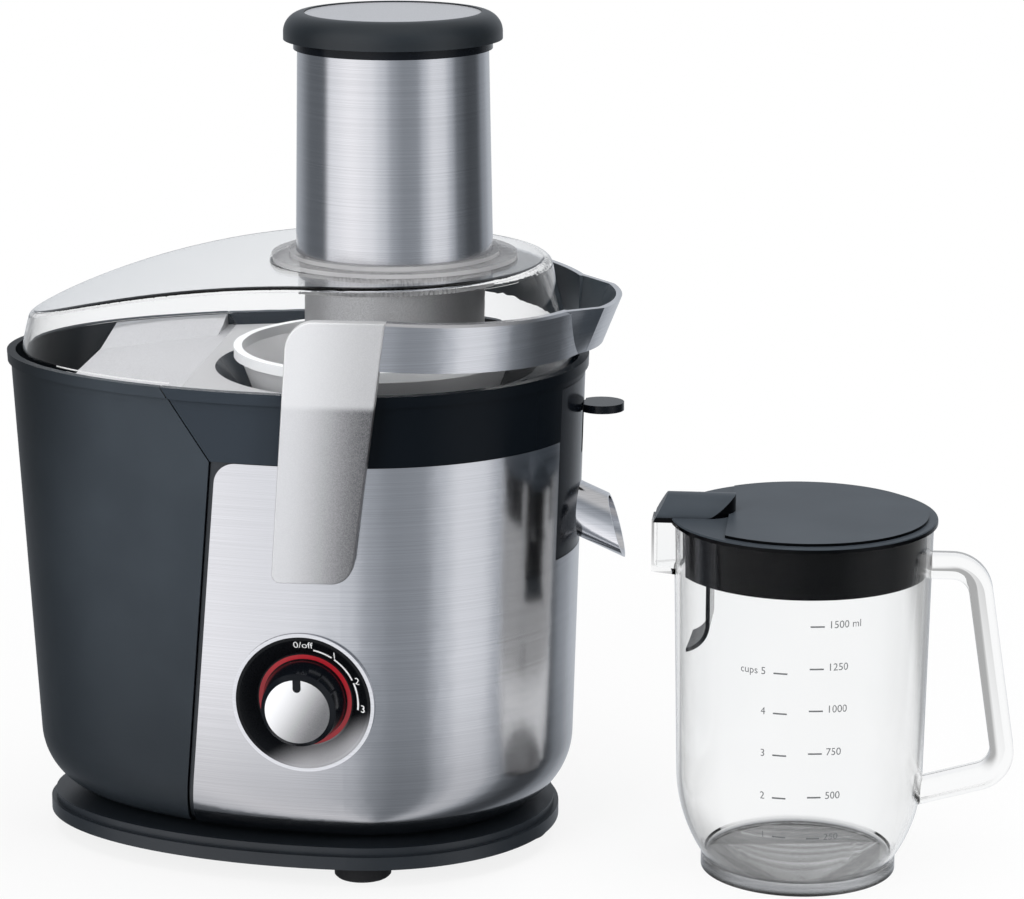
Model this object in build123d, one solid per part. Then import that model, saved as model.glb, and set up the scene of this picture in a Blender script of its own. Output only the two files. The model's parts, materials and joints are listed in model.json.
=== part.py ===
from build123d import *
import os
from math import atan, cos, degrees, pi

# Centrifugal juicer with its juice jug. Millimetres, +Z up, +X from the pulp bin to the spout.
# The model is drawn about the motor axis and moved at the end to the middle of its footprint.

# Clearances
RUN_GAP = 0.05          # shaft in bearing, pin in bore, per side
SEAT_GAP = 0.3          # lift-off piece over its seat
SLIDE_GAP = 0.5         # face sliding past a face
SKIN_GAP = 0.1          # skin over the housing
SEAM_GAP = 0.8          # pulp bin beside the motor end
FREE_GAP = 1.0          # turning piece beside a fixed wall

# Height stack
FOOT_HEIGHT = 9.5
BASE_HEIGHT = 10.5
PANEL_HEIGHT = 194.0
COLLAR_HEIGHT = 35.0
LID_HEIGHT = 48.0
TUBE_HEIGHT = 98.7
TUBE_COLLAR_HEIGHT = 4.3
CAP_HEIGHT = 13.0

# Egg-shaped body: reach to the right, to the left and to each side of the widest station
WIDEST_X = -4.0
BODY_RIGHT_LOW = 101.0
BODY_RIGHT_TOP = 108.0
BODY_LEFT_LOW = 167.0
BODY_LEFT_TOP = 179.0
BODY_HALF_LOW = 96.0
BODY_HALF_TOP = 104.0
BODY_ROUND = 35.0       # round at the foot of the body
RIM_BAND = 5.5          # height of the thickened rim
RIM_PROUD = 1.6

# Base plate
BASE_RIGHT = 95.0
BASE_LEFT = 165.0
BASE_HALF = 90.0
BASE_STEP_HEIGHT = 4.0
BASE_STEP_INSET = 2.5
BASE_SKIRT = 3.5        # height of the hollow under the plate
BASE_SKIRT_WALL = 4.0
PLINTH_INSET = 40.0

# Feet
FOOT_RADIUS = 14.0
FOOT_BEVEL = 1.0
FOOT_STEM_RADIUS = 4.0
FOOT_STEM_LENGTH = 6.0
FOOT_SIDE_Y = 68.0
FOOT_SIDE_X = 1.0
FOOT_RIGHT_X = 71.0
FOOT_LEFT_X = -124.0

# Seam between bin and motor end, and the chute slope above it
SEAM_X = -66.0          # at the top of the panel
SEAM_LEAN = 0.095
CHUTE_LEAN = 0.686

# Walls
SKIN_WALL = 1.6
TUB_WALL = 2.6
DECK_WALL = 3.0
BIN_WALL = 2.6
COLLAR_WALL = 3.0
BOWL_WALL = 2.5
LID_WALL = 2.5

# Pulp tray, from the bowl to the bin's open end
TRAY_END_X = -143.0
TRAY_GAP = 1.0          # inside the bin's wall and under its rim
TRAY_WALL = 2.5
TRAY_FOOT_Y = (20.0, 59.0)  # foot of the sloping back wall, at the free end and at the seam
TRAY_TOP_Y = (60.0, 84.0)

# Front panel
PANEL_EDGE_GAP = 2.4    # dark groove between panel and bin
PANEL_CORNER = 11.0
PANEL_END_Y = 6.0       # where the steel ends, just past the spout end
SKIN_JOINT = 0.6
SKIN_LIP = 5.0          # how far the skins turn in under the body

# Speed dial
DIAL_X = -22.5
DIAL_Z = 97.0
DIAL_TURN = -3.6        # degrees about Z, square to the curved panel
DIAL_RADIUS = 34.8
DIAL_PROUD = 1.2
DIAL_FLANGE = 2.2
DIAL_LIP_RADIUS = 33.0
DISH_RADIUS = 31.5
DISH_FLOOR_RADIUS = 23.5
DISH_DEPTH = 5.0
DIAL_DEPTH = 10.0
GLOW_INNER = 20.7
GLOW_OUTER = 22.8
KNOB_RADIUS = 20.2     # at the knob's foot
KNOB_TOP_RADIUS = 18.2
KNOB_FOOT = 2.5         # straight part at the knob's foot
KNOB_PROUD = 14.0
KNOB_FACE_WALL = 1.2
KNOB_FACE_RADIUS = 15.8
KNOB_SLOT_WIDTH = 4.0
KNOB_SLOT_LENGTH = 6.2
SPINDLE_RADIUS = 3.0
SPINDLE_LENGTH = 8.0
SWITCH_SIZE = 30.0
SWITCH_DEPTH = 20.0

# Juice bowl and chimney
CUP_RADIUS = 58.0
CUP_FLOOR_DROP = 48.0   # floor top below the top of the panel
FLARE_GAP = 8.0         # room round the filter's rim
RIM_SEAT_DROP = 6.5     # lid seat below the rim
CHIMNEY_RADIUS = 19.0
CHIMNEY_WALL = 3.0
CHIMNEY_HEIGHT = 20.0
WELL_WALL = 2.4

# Spout column, spout and drip stop
COLUMN_HALF = 38.0
COLUMN_HEIGHT = 59.0    # below the top of the panel
BORE_RADIUS = 10.0
SPOUT_RADIUS = 13.0
SPOUT_WALL = 1.2
SPOUT_TILT = 24.0
SPOUT_RISE = 16.5       # spout mouth centre above the foot of the column
SPOUT_REACH = 20.0      # along the axis, from the body's side to the cut
SPOUT_SOCKET = 7.0
SPOUT_CUT_LEAN = 15.0
GATE_WALL = 2.4
GATE_WIDTH = 25.0
GATE_SETBACK = 9.0
GATE_TRAVEL = 21.0
TAB_RADIUS = 11.0
TAB_WALL = 4.0
TAB_REACH = 19.5        # beyond the column's face
TAB_STEM_WIDTH = 6.0
TAB_LIFT = 8.0          # tab above the top of the panel, at rest

# Lid
LID_SKIRT = 0.6         # skirt clearance inside the rim
LID_DRAFT = 0.25        # slope of the lid's sides
LID_ROUND = 5.0
LID_BEND_X = -15.0      # where the roof starts to fall towards the bin
LID_BEND_RADIUS = 430.0
SEAT_RADIUS = 61.5      # raised round seat for the tube's flange

# Feed tube
TUBE_X = 9.7
CHUTE_RADIUS = 42.0     # clear inside of the feed tube
LINER_WALL = 2.4
LINER_DROP = 65.0       # liner end below the lid's top
SLEEVE_TOP_RADIUS = 46.6
SLEEVE_FOOT_RADIUS = 48.4
SLEEVE_WALL = 1.0
FLANGE_RADIUS = 60.5
FLANGE_HEIGHT = 4.0
FLANGE_STEP_RADIUS = 52.0
TUBE_COLLAR_RADIUS = 48.5

# Pusher
BARREL_GAP = 0.6
BARREL_WALL = 2.2
BARREL_RISE = 4.0       # barrel end above the liner end
CAP_RADIUS = 53.3
CAP_ROUND = 9.6
INSERT_RADIUS = 43.0
INSERT_DEPTH = 2.0
INSERT_SINK = 0.6

# Filter basket
SIEVE_LOW_RADIUS = 46.0
SIEVE_TOP_RADIUS = 67.0
SIEVE_WALL = 1.0
SIEVE_HEIGHT = 58.0
SIEVE_RIM_HEIGHT = 5.0
SIEVE_RIM_PROUD = 3.0
HUB_PLATE = 3.0
HUB_SKIRT_WALL = 3.0
GRATER_WALL = 1.5
GRATER_RADIUS = 44.0
TOOTH_ROWS = 12
TOOTH_LENGTH = 22.0
TOOTH_WIDTH = 1.2
TOOTH_HEIGHT = 1.0

# Drive
SHAFT_RADIUS = 4.0
COUPLING_RADIUS = 12.0
COUPLING_FLATS = 20.0
COUPLING_GRIP = 10.0
COUPLING_FOOT = 12.0
SOCKET_WALL = 2.0
SEAL_HEIGHT = 3.5
SEAL_RADIUS = 11.0

# Motor
MOTOR_RADIUS = 44.0
STACK_HEIGHT = 45.0
BELL_HEIGHT = 20.0
BELL_WALL = 2.5
BELL_PLATE = 4.0
MOUNT_HEIGHT = 16.0
MOUNT_RADIUS = 6.0
MOUNT_CIRCLE = 34.0
MOUNT_COUNT = 3
MOUNT_TURN = 60.0
ROTOR_RADIUS = 23.4
AIR_GAP = 0.6
COIL_INNER = 27.0
COIL_OUTER = 38.0
COIL_HEIGHT = 11.0
WINDING_RADIUS = 19.0
WINDING_HEIGHT = 8.0
COMMUTATOR_RADIUS = 10.0
COMMUTATOR_HEIGHT = 9.0
BEARING_RADIUS = 11.0
BEARING_HEIGHT = 7.0
BEARING_HUB_WALL = 4.0
FAN_RADIUS = 38.0
FAN_DISC = 1.5
FAN_HEIGHT = 10.0
FAN_HUB_RADIUS = 8.0
FAN_BLADES = 12
BLADE_WALL = 1.2
BRUSH_COUNT = 2
BRUSH_WIDTH = 6.0
BRUSH_LENGTH = 16.0

# Locking bail
BAIL_GAP = 1.4          # arm beside the bowl's rim
BAIL_TILT = 4.0         # degrees the ring falls towards its tip
BAIL_CENTRE_X = 10.0
BAIL_REACH = 100.0
BAIL_WALL = 6.0
BAIL_BOW_WALL = 4.0     # ring's wall at its tip
BAIL_HEIGHT = 23.0
BAIL_DROP = 11.0        # ring top below the lid's top
ARM_TOP_LEFT = -26.0
ARM_TOP_RIGHT = 20.5
ARM_FOOT_LEFT = -35.0
ARM_FOOT_RIGHT = 3.0
ARM_FOOT_DROP = 54.0    # arm foot below the top of the panel
ARM_TOP_ROUND = 14.0
ARM_FOOT_ROUND = 11.0
ARM_HEEL_ROUND = 4.0
ARM_EDGE = 0.8          # round along the arm's outer edges
RING_EDGE = 1.2         # bevel along the ring's outer top edge
LIP_ROOT_X = 100.5      # where the scoop's flat cheeks leave the ring
LIP_ROOT_HALF = 47.0
LIP_X = 116.0
LIP_HALF = 31.0
LIP_LOW_X = 108.5
LIP_LOW_HALF = 28.0
LIP_LOW_ROOT_HALF = 44.0
LIP_BOW = 6.0           # how far the tip bows out past its corners
LIP_WALL = 3.0
POCKET_RISE = 4.0       # floor of the finger scoop above the ring's lower edge
PIVOT_X = -15.0
PIVOT_DROP = 38.0       # pivot below the top of the panel
PIVOT_RADIUS = 5.0
PIVOT_SHOULDER = 9.0
PIVOT_ROOT = 10.0       # pin inside the body
PIVOT_SKIN = 1.5        # arm left over the pin's end

# Small inner pieces
BOARD_SIZE = (40.0, 1.6, 44.0)
BOARD_X = -20.0
BOARD_Y = -51.0
INTERLOCK_SIZE = (20.0, 10.0, 16.0)
INTERLOCK_X = -20.0
INTERLOCK_Y = -79.0
GLAND_X = -10.0
GLAND_RISE = 42.0       # above the foot of the body
GLAND_RADIUS = 6.5
GLAND_FLANGE = 9.0
GLAND_FLANGE_WALL = 2.0
GLAND_BORE = 3.5
GLAND_LENGTH = 14.0
SCREW_RADIUS = 2.0
SCREW_HEAD_RADIUS = 4.0
SCREW_HEAD_HEIGHT = 2.6
SCREW_GRIP = 6.0
SCREW_BOSS_RADIUS = 5.0
SCREW_PLACES = ((40.0, 30.0), (40.0, -30.0), (-40.0, 30.0), (-40.0, -30.0))
VENT_COUNT = 8
VENT_CIRCLE = 19.0
VENT_SIZE = (16.0, 3.0)

# Juice jug
JUG_X = 213.4
JUG_Y = -30.0
JUG_HEIGHT = 176.2
JUG_TOP_RADIUS = 63.0
JUG_LOW_RADIUS = 60.6
JUG_FOOT_RADIUS = 48.0
JUG_FOOT_HEIGHT = 8.0   # straight foot below the bow
JUG_FLOOR = 6.0         # inner floor above the table
JUG_SHOULDER = 50.0     # height where the bow meets the wall
JUG_WALL = 2.4
BEAK_REACH = 73.5
BEAK_HEIGHT = 26.0
BEAK_HALF = 24.0
BEAK_TIP_HALF = 8.0
HANDLE_REACH = 107.0
HANDLE_TOP_DROP = 15.0
HANDLE_LOW_Z = 17.5     # lower edge carried on to the jug's axis
HANDLE_LOW_RISE = 30.7
HANDLE_LEAN = 17.5
HANDLE_THICK = 11.5
HANDLE_WIDTH = 17.0
HANDLE_ROUND = 20.0
HANDLE_EDGE = 4.0       # round along the grip's edges
JUG_LID_RADIUS = 65.0
JUG_LID_HEIGHT = 2.4
JUG_LID_WALL = 2.4
JUG_LID_EDGE = 1.0      # round along the flange's upper edge
LID_DISC_RADIUS = 60.5  # raised middle of the jug's lid
LID_DISC_HEIGHT = 1.4
LID_CREASE_X = -36.0    # where the raised middle ends, towards the beak
PLUG_GAP = 0.5
PLUG_DEPTH = 24.0
COVER_HALF = 14.0
COVER_TIP = 72.5
COVER_BACK = 33.0
COVER_HEIGHT = 9.6      # ridge above the flange
COVER_RAKE = 6.5        # how far the hood's end leans back
FIN_X = -46.0
FIN_WALL = 2.0
FIN_HALF = 16.0
FIN_KNEE = 50.0         # straight depth of the foam separator
FIN_TIP_X = -55.0
FIN_TIP = 64.0          # full depth of the foam separator

# Levels that follow from the stack
BASE_Z = FOOT_HEIGHT
BODY_Z = BASE_Z + BASE_HEIGHT
PANEL_Z = BODY_Z + PANEL_HEIGHT
RIM_Z = PANEL_Z + COLLAR_HEIGHT
SEAT_Z = RIM_Z - RIM_SEAT_DROP
LID_Z = RIM_Z + LID_HEIGHT
FLANGE_Z = LID_Z + FLANGE_HEIGHT
TUBE_Z = FLANGE_Z + TUBE_HEIGHT
COLLAR_Z = TUBE_Z + TUBE_COLLAR_HEIGHT
CAP_Z = COLLAR_Z + SEAT_GAP
CUP_Z = PANEL_Z - CUP_FLOOR_DROP
WELL_Z = CUP_Z - BOWL_WALL - SEAT_GAP
TUB_FLOOR_Z = BODY_Z + SKIN_WALL + SKIN_GAP
TUB_TOP_Z = PANEL_Z - DECK_WALL
COLUMN_Z = PANEL_Z - COLUMN_HEIGHT
COLUMN_TOP_Z = SEAT_Z - BOWL_WALL
FAR = 400.0             # beyond every solid, for cutting tools
DRILL = 40.0            # drill through one side wall
TUB_INSET = SKIN_WALL + SKIN_GAP
FLARE_RADIUS = SIEVE_TOP_RADIUS + SIEVE_RIM_PROUD + FLARE_GAP
BAIL_HALF = BODY_HALF_TOP + RIM_PROUD + BAIL_GAP + BAIL_WALL


def share_at(z):
    return (z - BODY_Z) / (RIM_Z - BODY_Z)


def body_reach(z, inset):
    """Right, left and side reach of the body at one height, moved in by an inset."""
    s = share_at(z)
    right = BODY_RIGHT_LOW + (BODY_RIGHT_TOP - BODY_RIGHT_LOW) * s - inset
    left = BODY_LEFT_LOW + (BODY_LEFT_TOP - BODY_LEFT_LOW) * s - inset
    half = BODY_HALF_LOW + (BODY_HALF_TOP - BODY_HALF_LOW) * s - inset
    return right, left, half


def egg(right, left, half, z):
    """Egg outline made of two half ellipses that share their width."""
    fore = EllipticalCenterArc((WIDEST_X, 0, z), right, half, start_angle=-90, arc_size=180)
    aft = EllipticalCenterArc((WIDEST_X, 0, z), left, half, start_angle=90, arc_size=180)
    return Face(Wire([fore, aft]))


def egg_slab(right, left, half, z_low, z_high):
    return extrude(egg(right, left, half, z_low), amount=z_high - z_low, dir=(0, 0, 1))


def body_loft(inset, z_low, z_high):
    """Straight-drafted slice of the body, without the round at its foot."""
    low = egg(*body_reach(z_low, inset), z_low)
    high = egg(*body_reach(z_high, inset), z_high)
    return loft([low, high], ruled=True)


def body(inset, z_high):
    """The body moved in by a wall on its sides and its floor."""
    solid = body_loft(inset, BODY_Z + inset, z_high)
    return fillet(solid.edges().group_by(Axis.Z)[0], BODY_ROUND - inset)


def side_y(x, z):
    """Front face of the body, as a negative y, at one station and height."""
    right, left, half = body_reach(z, 0)
    reach = right if x > WIDEST_X else left
    return -half * (1 - ((x - WIDEST_X) / reach) ** 2) ** 0.5


def seam_x(z):
    if z <= PANEL_Z:
        return SEAM_X - (PANEL_Z - z) * SEAM_LEAN
    return SEAM_X - (z - PANEL_Z) * CHUTE_LEAN


def prism(points, half=FAR):
    """Outline in x and z, drawn out to both sides along y."""
    return extrude(Plane.XZ * make_face(Polyline(*points, close=True)), amount=half, both=True)


def motor_side(shift, z_low, z_high):
    """Everything on the motor's side of the seam, moved along x."""
    left = [(seam_x(z) + shift, z) for z in (z_low, min(max(PANEL_Z, z_low), z_high), z_high)]
    points = list(dict.fromkeys(left)) + [(FAR, z_high), (FAR, z_low)]
    return prism(points)


def bin_side(shift, z_low, z_high):
    """Everything on the bin's side of the seam, moved along x."""
    right = [(seam_x(z) + shift, z) for z in (z_low, min(max(PANEL_Z, z_low), z_high), z_high)]
    points = list(dict.fromkeys(right)) + [(-FAR, z_high), (-FAR, z_low)]
    return prism(points)


def block(x, y, z):
    """Box from three (low, high) pairs."""
    size = [b - a for a, b in (x, y, z)]
    middle = [(a + b) / 2 for a, b in (x, y, z)]
    return Pos(*middle) * Box(*size)


def turned(points, x=0.0, y=0.0):
    """Closed outline of (radius, z) points turned about a vertical axis."""
    face = Plane.XZ * make_face(Polyline(*points, close=True))
    return Pos(x, y, 0) * revolve(face, Axis.Z)


def tube(outer, inner, z_low, z_high, x=0.0, y=0.0):
    if inner <= 0:
        return Pos(x, y, (z_low + z_high) / 2) * Cylinder(outer, z_high - z_low)
    return turned([(inner, z_low), (outer, z_low), (outer, z_high), (inner, z_high)], x, y)


def group(pieces):
    """Several separate solids as one node."""
    return Compound([solid for piece in pieces for solid in piece.solids()])


def spokes(count, start=0.0):
    """Turns about the motor axis for an even pattern."""
    return [Rot(0, 0, start + 360.0 * i / count) for i in range(count)]


# Column and spout places shared by several pieces
COLUMN_RIGHT_Z = COLUMN_Z + SPOUT_RISE
SPOUT_ROOT_X = WIDEST_X + body_reach(COLUMN_RIGHT_Z, 0)[0]
WELL_RADIUS = CUP_RADIUS + BOWL_WALL + SLIDE_GAP
WELL_OUTER = WELL_RADIUS + WELL_WALL
GATE_X = SPOUT_ROOT_X - GATE_SETBACK
BORE_Z = CUP_Z + BORE_RADIUS
GATE_LOW_Z = BORE_Z + BORE_RADIUS + SLIDE_GAP
TAB_Z = PANEL_Z + TAB_LIFT
GATE_TOP_Z = TAB_Z + TAB_WALL
SPOUT_FRAME = Pos(SPOUT_ROOT_X, 0, COLUMN_RIGHT_Z) * Rot(0, 90 + SPOUT_TILT, 0)
INTAKE = [turn * Pos(VENT_CIRCLE + VENT_SIZE[0] / 2, 0, 0) for turn in spokes(VENT_COUNT)]

BODY_OUTER = body(0, RIM_Z)
BODY_SKIN = body(SKIN_WALL, RIM_Z)
BODY_TUB = body(TUB_INSET, RIM_Z)
BODY_ROOM = body(TUB_INSET + TUB_WALL, RIM_Z)


def cup_envelope(gap):
    """Room taken by the bowl's well and its flare, grown by a gap."""
    flare = FLARE_RADIUS + BOWL_WALL + gap
    points = [(0, 0), (WELL_OUTER + gap, 0), (WELL_OUTER + gap, PANEL_Z), (flare, COLUMN_TOP_Z)]
    return turned(points + [(flare, RIM_Z), (0, RIM_Z)])


def column_space(gap):
    """Block of room for the spout column, grown by a gap."""
    room = block((0, FAR), (-COLUMN_HALF - gap, COLUMN_HALF + gap), (COLUMN_Z - gap, COLUMN_TOP_Z + gap))
    return room - cup_envelope(SEAT_GAP - gap)


def bore_tool():
    """Level juice passage from the cup through the column."""
    length = SPOUT_ROOT_X - CUP_RADIUS / 2
    return Pos(CUP_RADIUS / 2 + length / 2, 0, BORE_Z) * Rot(0, 90, 0) * Cylinder(BORE_RADIUS, length)


def vent_tool(z_low, z_high):
    slots = [place * Box(*VENT_SIZE, z_high - z_low) for place in INTAKE]
    return Pos(0, 0, (z_low + z_high) / 2) * group(slots)


def foot_places():
    return [(FOOT_SIDE_X, -FOOT_SIDE_Y), (FOOT_SIDE_X, FOOT_SIDE_Y), (FOOT_RIGHT_X, 0), (FOOT_LEFT_X, 0)]


def make_base():
    plate_z = BASE_Z + BASE_SKIRT
    step_z = BODY_Z - BASE_STEP_HEIGHT
    plate = egg_slab(BASE_RIGHT, BASE_LEFT, BASE_HALF, BASE_Z, step_z)
    inset = BASE_STEP_INSET
    plate += egg_slab(BASE_RIGHT - inset, BASE_LEFT - inset, BASE_HALF - inset, step_z, BODY_Z)
    hollow = [reach - BASE_SKIRT_WALL for reach in (BASE_RIGHT, BASE_LEFT, BASE_HALF)]
    plate -= egg_slab(*hollow, BASE_Z, plate_z)
    plinth = [reach - PLINTH_INSET for reach in body_reach(BODY_Z, 0)]
    under_tub = motor_side(PLINTH_INSET / 2, BODY_Z, TUB_FLOOR_Z)
    plate += egg_slab(*plinth, BODY_Z, TUB_FLOOR_Z) & under_tub
    for x, y in foot_places():
        plate += tube(FOOT_RADIUS, 0, BASE_Z, plate_z, x, y)
        plate -= tube(FOOT_STEM_RADIUS + RUN_GAP, 0, BASE_Z, BASE_Z + FOOT_STEM_LENGTH + SEAT_GAP, x, y)
    for x, y in SCREW_PLACES:
        plate -= tube(SCREW_RADIUS + RUN_GAP, 0, BASE_Z, TUB_FLOOR_Z, x, y)
        plate -= tube(SCREW_HEAD_RADIUS + SEAT_GAP, 0, BASE_Z, plate_z + SCREW_HEAD_HEIGHT, x, y)
    plate -= vent_tool(BASE_Z, TUB_FLOOR_Z)
    feet = []
    for x, y in foot_places():
        foot = tube(FOOT_RADIUS, 0, 0, FOOT_HEIGHT)
        foot = chamfer(foot.edges().group_by(Axis.Z)[0], FOOT_BEVEL)
        foot += tube(FOOT_STEM_RADIUS, 0, FOOT_HEIGHT, FOOT_HEIGHT + FOOT_STEM_LENGTH)
        feet.append(Pos(x, y, 0) * foot)
    screws = []
    for x, y in SCREW_PLACES:
        head = tube(SCREW_HEAD_RADIUS, 0, plate_z, plate_z + SCREW_HEAD_HEIGHT, x, y)
        shank_top = TUB_FLOOR_Z + TUB_WALL + SCREW_GRIP
        screws.append(head + tube(SCREW_RADIUS, 0, plate_z + SCREW_HEAD_HEIGHT, shank_top, x, y))
    return {"base_plate": plate, "rubber_feet": group(feet), "base_screws": group(screws)}


def dial_frame():
    """Frame on the panel at the dial, its Z axis out of the panel towards the user."""
    y = side_y(DIAL_X, DIAL_Z)
    draft = degrees(atan((BODY_HALF_TOP - BODY_HALF_LOW) / (RIM_Z - BODY_Z)))
    return Pos(DIAL_X, y, DIAL_Z) * Rot(0, 0, DIAL_TURN) * Rot(90 + draft, 0, 0)


def pivot_frame(side):
    """Frame on the body's front or rear at the bail's pivot, its Z axis outwards."""
    z = PANEL_Z - PIVOT_DROP
    y = side_y(PIVOT_X, z)
    return Pos(PIVOT_X, -side * y, z) * Rot(-90 * side, 0, 0)


def gland_frame():
    z = BODY_Z + GLAND_RISE
    return Pos(GLAND_X, -side_y(GLAND_X, z), z) * Rot(-90, 0, 0)


def panel_window():
    """Outline of the steel panel from the front, with its rounded upper corner."""
    left_top = seam_x(PANEL_Z) + PANEL_EDGE_GAP
    left_low = seam_x(BODY_Z) + PANEL_EDGE_GAP
    outline = [(left_low, BODY_Z), (FAR, BODY_Z), (FAR, PANEL_Z), (left_top, PANEL_Z)]
    window = prism(outline)
    corner = window.edges().filter_by(Axis.Y).sort_by(Axis.X)
    upper = [edge for edge in corner if abs(edge.center().Z - PANEL_Z) < 1 and edge.center().X < 0]
    return fillet(upper, PANEL_CORNER)


def make_housing():
    tub = BODY_TUB & motor_side(0, BODY_Z, TUB_TOP_Z)
    tub -= BODY_ROOM & motor_side(TUB_WALL, BODY_Z, RIM_Z)
    floor_z = TUB_FLOOR_Z + TUB_WALL
    for x, y in SCREW_PLACES:
        tub += tube(SCREW_BOSS_RADIUS, 0, floor_z, floor_z + SCREW_GRIP, x, y)
        tub -= tube(SCREW_RADIUS + RUN_GAP, 0, TUB_FLOOR_Z, floor_z + SCREW_GRIP, x, y)
    skin = BODY_OUTER - BODY_SKIN
    lip = [reach - BODY_ROUND + SKIN_LIP for reach in body_reach(BODY_Z, 0)]
    skin -= egg_slab(*lip, BODY_Z, TUB_FLOOR_Z + TUB_WALL)
    skin &= motor_side(0, BODY_Z, PANEL_Z)
    skin -= column_space(SLIDE_GAP)
    tub -= column_space(SEAT_GAP)
    front = block((-FAR, FAR), (-FAR, 0), (0, FAR)) + block((0, FAR), (-FAR, PANEL_END_Y), (0, FAR))
    panel = skin & front & panel_window()
    rear_room = front + block((-FAR, FAR), (-FAR, SKIN_JOINT), (0, FAR))
    rear_room += block((0, FAR), (-FAR, PANEL_END_Y + SKIN_JOINT), (0, FAR))
    rear = skin - rear_room
    ring_room = tube(DIAL_RADIUS + SKIN_GAP, 0, -DIAL_FLANGE - SKIN_GAP, DIAL_DEPTH)
    dial_hole = dial_frame() * (Cylinder(DIAL_LIP_RADIUS + SKIN_GAP, DRILL) + ring_room)
    panel -= dial_hole
    tub -= dial_hole
    pin_hole = Cylinder(PIVOT_RADIUS + SKIN_GAP, DRILL)
    panel -= pivot_frame(-1) * pin_hole
    rear -= pivot_frame(1) * pin_hole
    tub -= pivot_frame(-1) * pin_hole
    tub -= pivot_frame(1) * pin_hole
    gland_hole = gland_frame() * Cylinder(GLAND_RADIUS + RUN_GAP, DRILL)
    rear -= gland_hole
    tub -= gland_hole
    tub -= vent_tool(TUB_FLOOR_Z, floor_z)
    return {"motor_housing": tub, "front_panel": panel, "rear_cover": rear}


def make_deck():
    deck = BODY_TUB & motor_side(0, TUB_TOP_Z, PANEL_Z)
    deck += tube(WELL_OUTER, 0, WELL_Z - DECK_WALL, PANEL_Z)
    deck -= tube(WELL_RADIUS, 0, WELL_Z, PANEL_Z)
    deck -= tube(SEAL_RADIUS, 0, WELL_Z - DECK_WALL, WELL_Z)
    deck -= column_space(SEAT_GAP)
    deck -= bore_tool()
    seal_z = WELL_Z - DECK_WALL
    seal = tube(SEAL_RADIUS, SHAFT_RADIUS + RUN_GAP, seal_z, seal_z + SEAL_HEIGHT)
    return {"motor_deck": deck, "shaft_seal": seal}


def make_bowl():
    chimney_in = CHIMNEY_RADIUS - CHIMNEY_WALL
    floor_z = CUP_Z - BOWL_WALL
    flare_z = SEAT_Z - BOWL_WALL
    knee_z = PANEL_Z + SEAT_GAP
    outline = [(chimney_in, floor_z), (CUP_RADIUS + BOWL_WALL, floor_z), (CUP_RADIUS + BOWL_WALL, knee_z)]
    outline += [(FLARE_RADIUS + BOWL_WALL, flare_z), (FAR, flare_z), (FAR, SEAT_Z)]
    outline += [(FLARE_RADIUS + BOWL_WALL / 2, SEAT_Z), (CUP_RADIUS, knee_z), (CUP_RADIUS, CUP_Z)]
    outline += [(CHIMNEY_RADIUS, CUP_Z), (CHIMNEY_RADIUS, CUP_Z + CHIMNEY_HEIGHT)]
    outline += [(chimney_in, CUP_Z + CHIMNEY_HEIGHT)]
    inside = body_loft(COLLAR_WALL, BODY_Z, RIM_Z)
    inside &= motor_side(0, BODY_Z, RIM_Z)
    cup = turned(outline) & (inside + tube(CUP_RADIUS + 2 * BOWL_WALL, 0, 0, RIM_Z))
    collar = body_loft(0, PANEL_Z + SEAT_GAP, RIM_Z)
    collar += body_loft(-RIM_PROUD, RIM_Z - RIM_BAND, RIM_Z)
    collar -= body_loft(COLLAR_WALL, PANEL_Z, RIM_Z)
    collar &= motor_side(0, PANEL_Z, RIM_Z)
    bowl = cup + collar
    bowl -= column_space(SEAT_GAP)
    bowl -= bore_tool()
    return {"juice_bowl": bowl}


def make_tray():
    """Tray with a low lip and a sloping back wall, level with the bowl's deck."""
    inset = BIN_WALL + TRAY_GAP
    lip_z = RIM_Z - TRAY_GAP
    end_x = seam_x(RIM_Z)
    tray = body_loft(inset, SEAT_Z - TRAY_WALL, SEAT_Z) & bin_side(0, BODY_Z, SEAT_Z)
    room = body_loft(inset, SEAT_Z, lip_z)
    slope = []
    for z, line in ((SEAT_Z, TRAY_FOOT_Y), (lip_z, TRAY_TOP_Y)):
        points = [(TRAY_END_X, line[0]), (end_x, line[1]), (end_x, FAR), (TRAY_END_X, FAR)]
        slope.append(Pos(0, 0, z) * make_face(Polyline(*points, close=True)))
    sides = room - body_loft(inset + TRAY_WALL, SEAT_Z, lip_z)
    sides += loft(slope, ruled=True) & room
    tray += sides & block((-FAR, end_x), (-FAR, FAR), (0, FAR))
    tray &= block((TRAY_END_X, 0), (-FAR, FAR), (0, FAR))
    return {"pulp_tray": tray}


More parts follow.
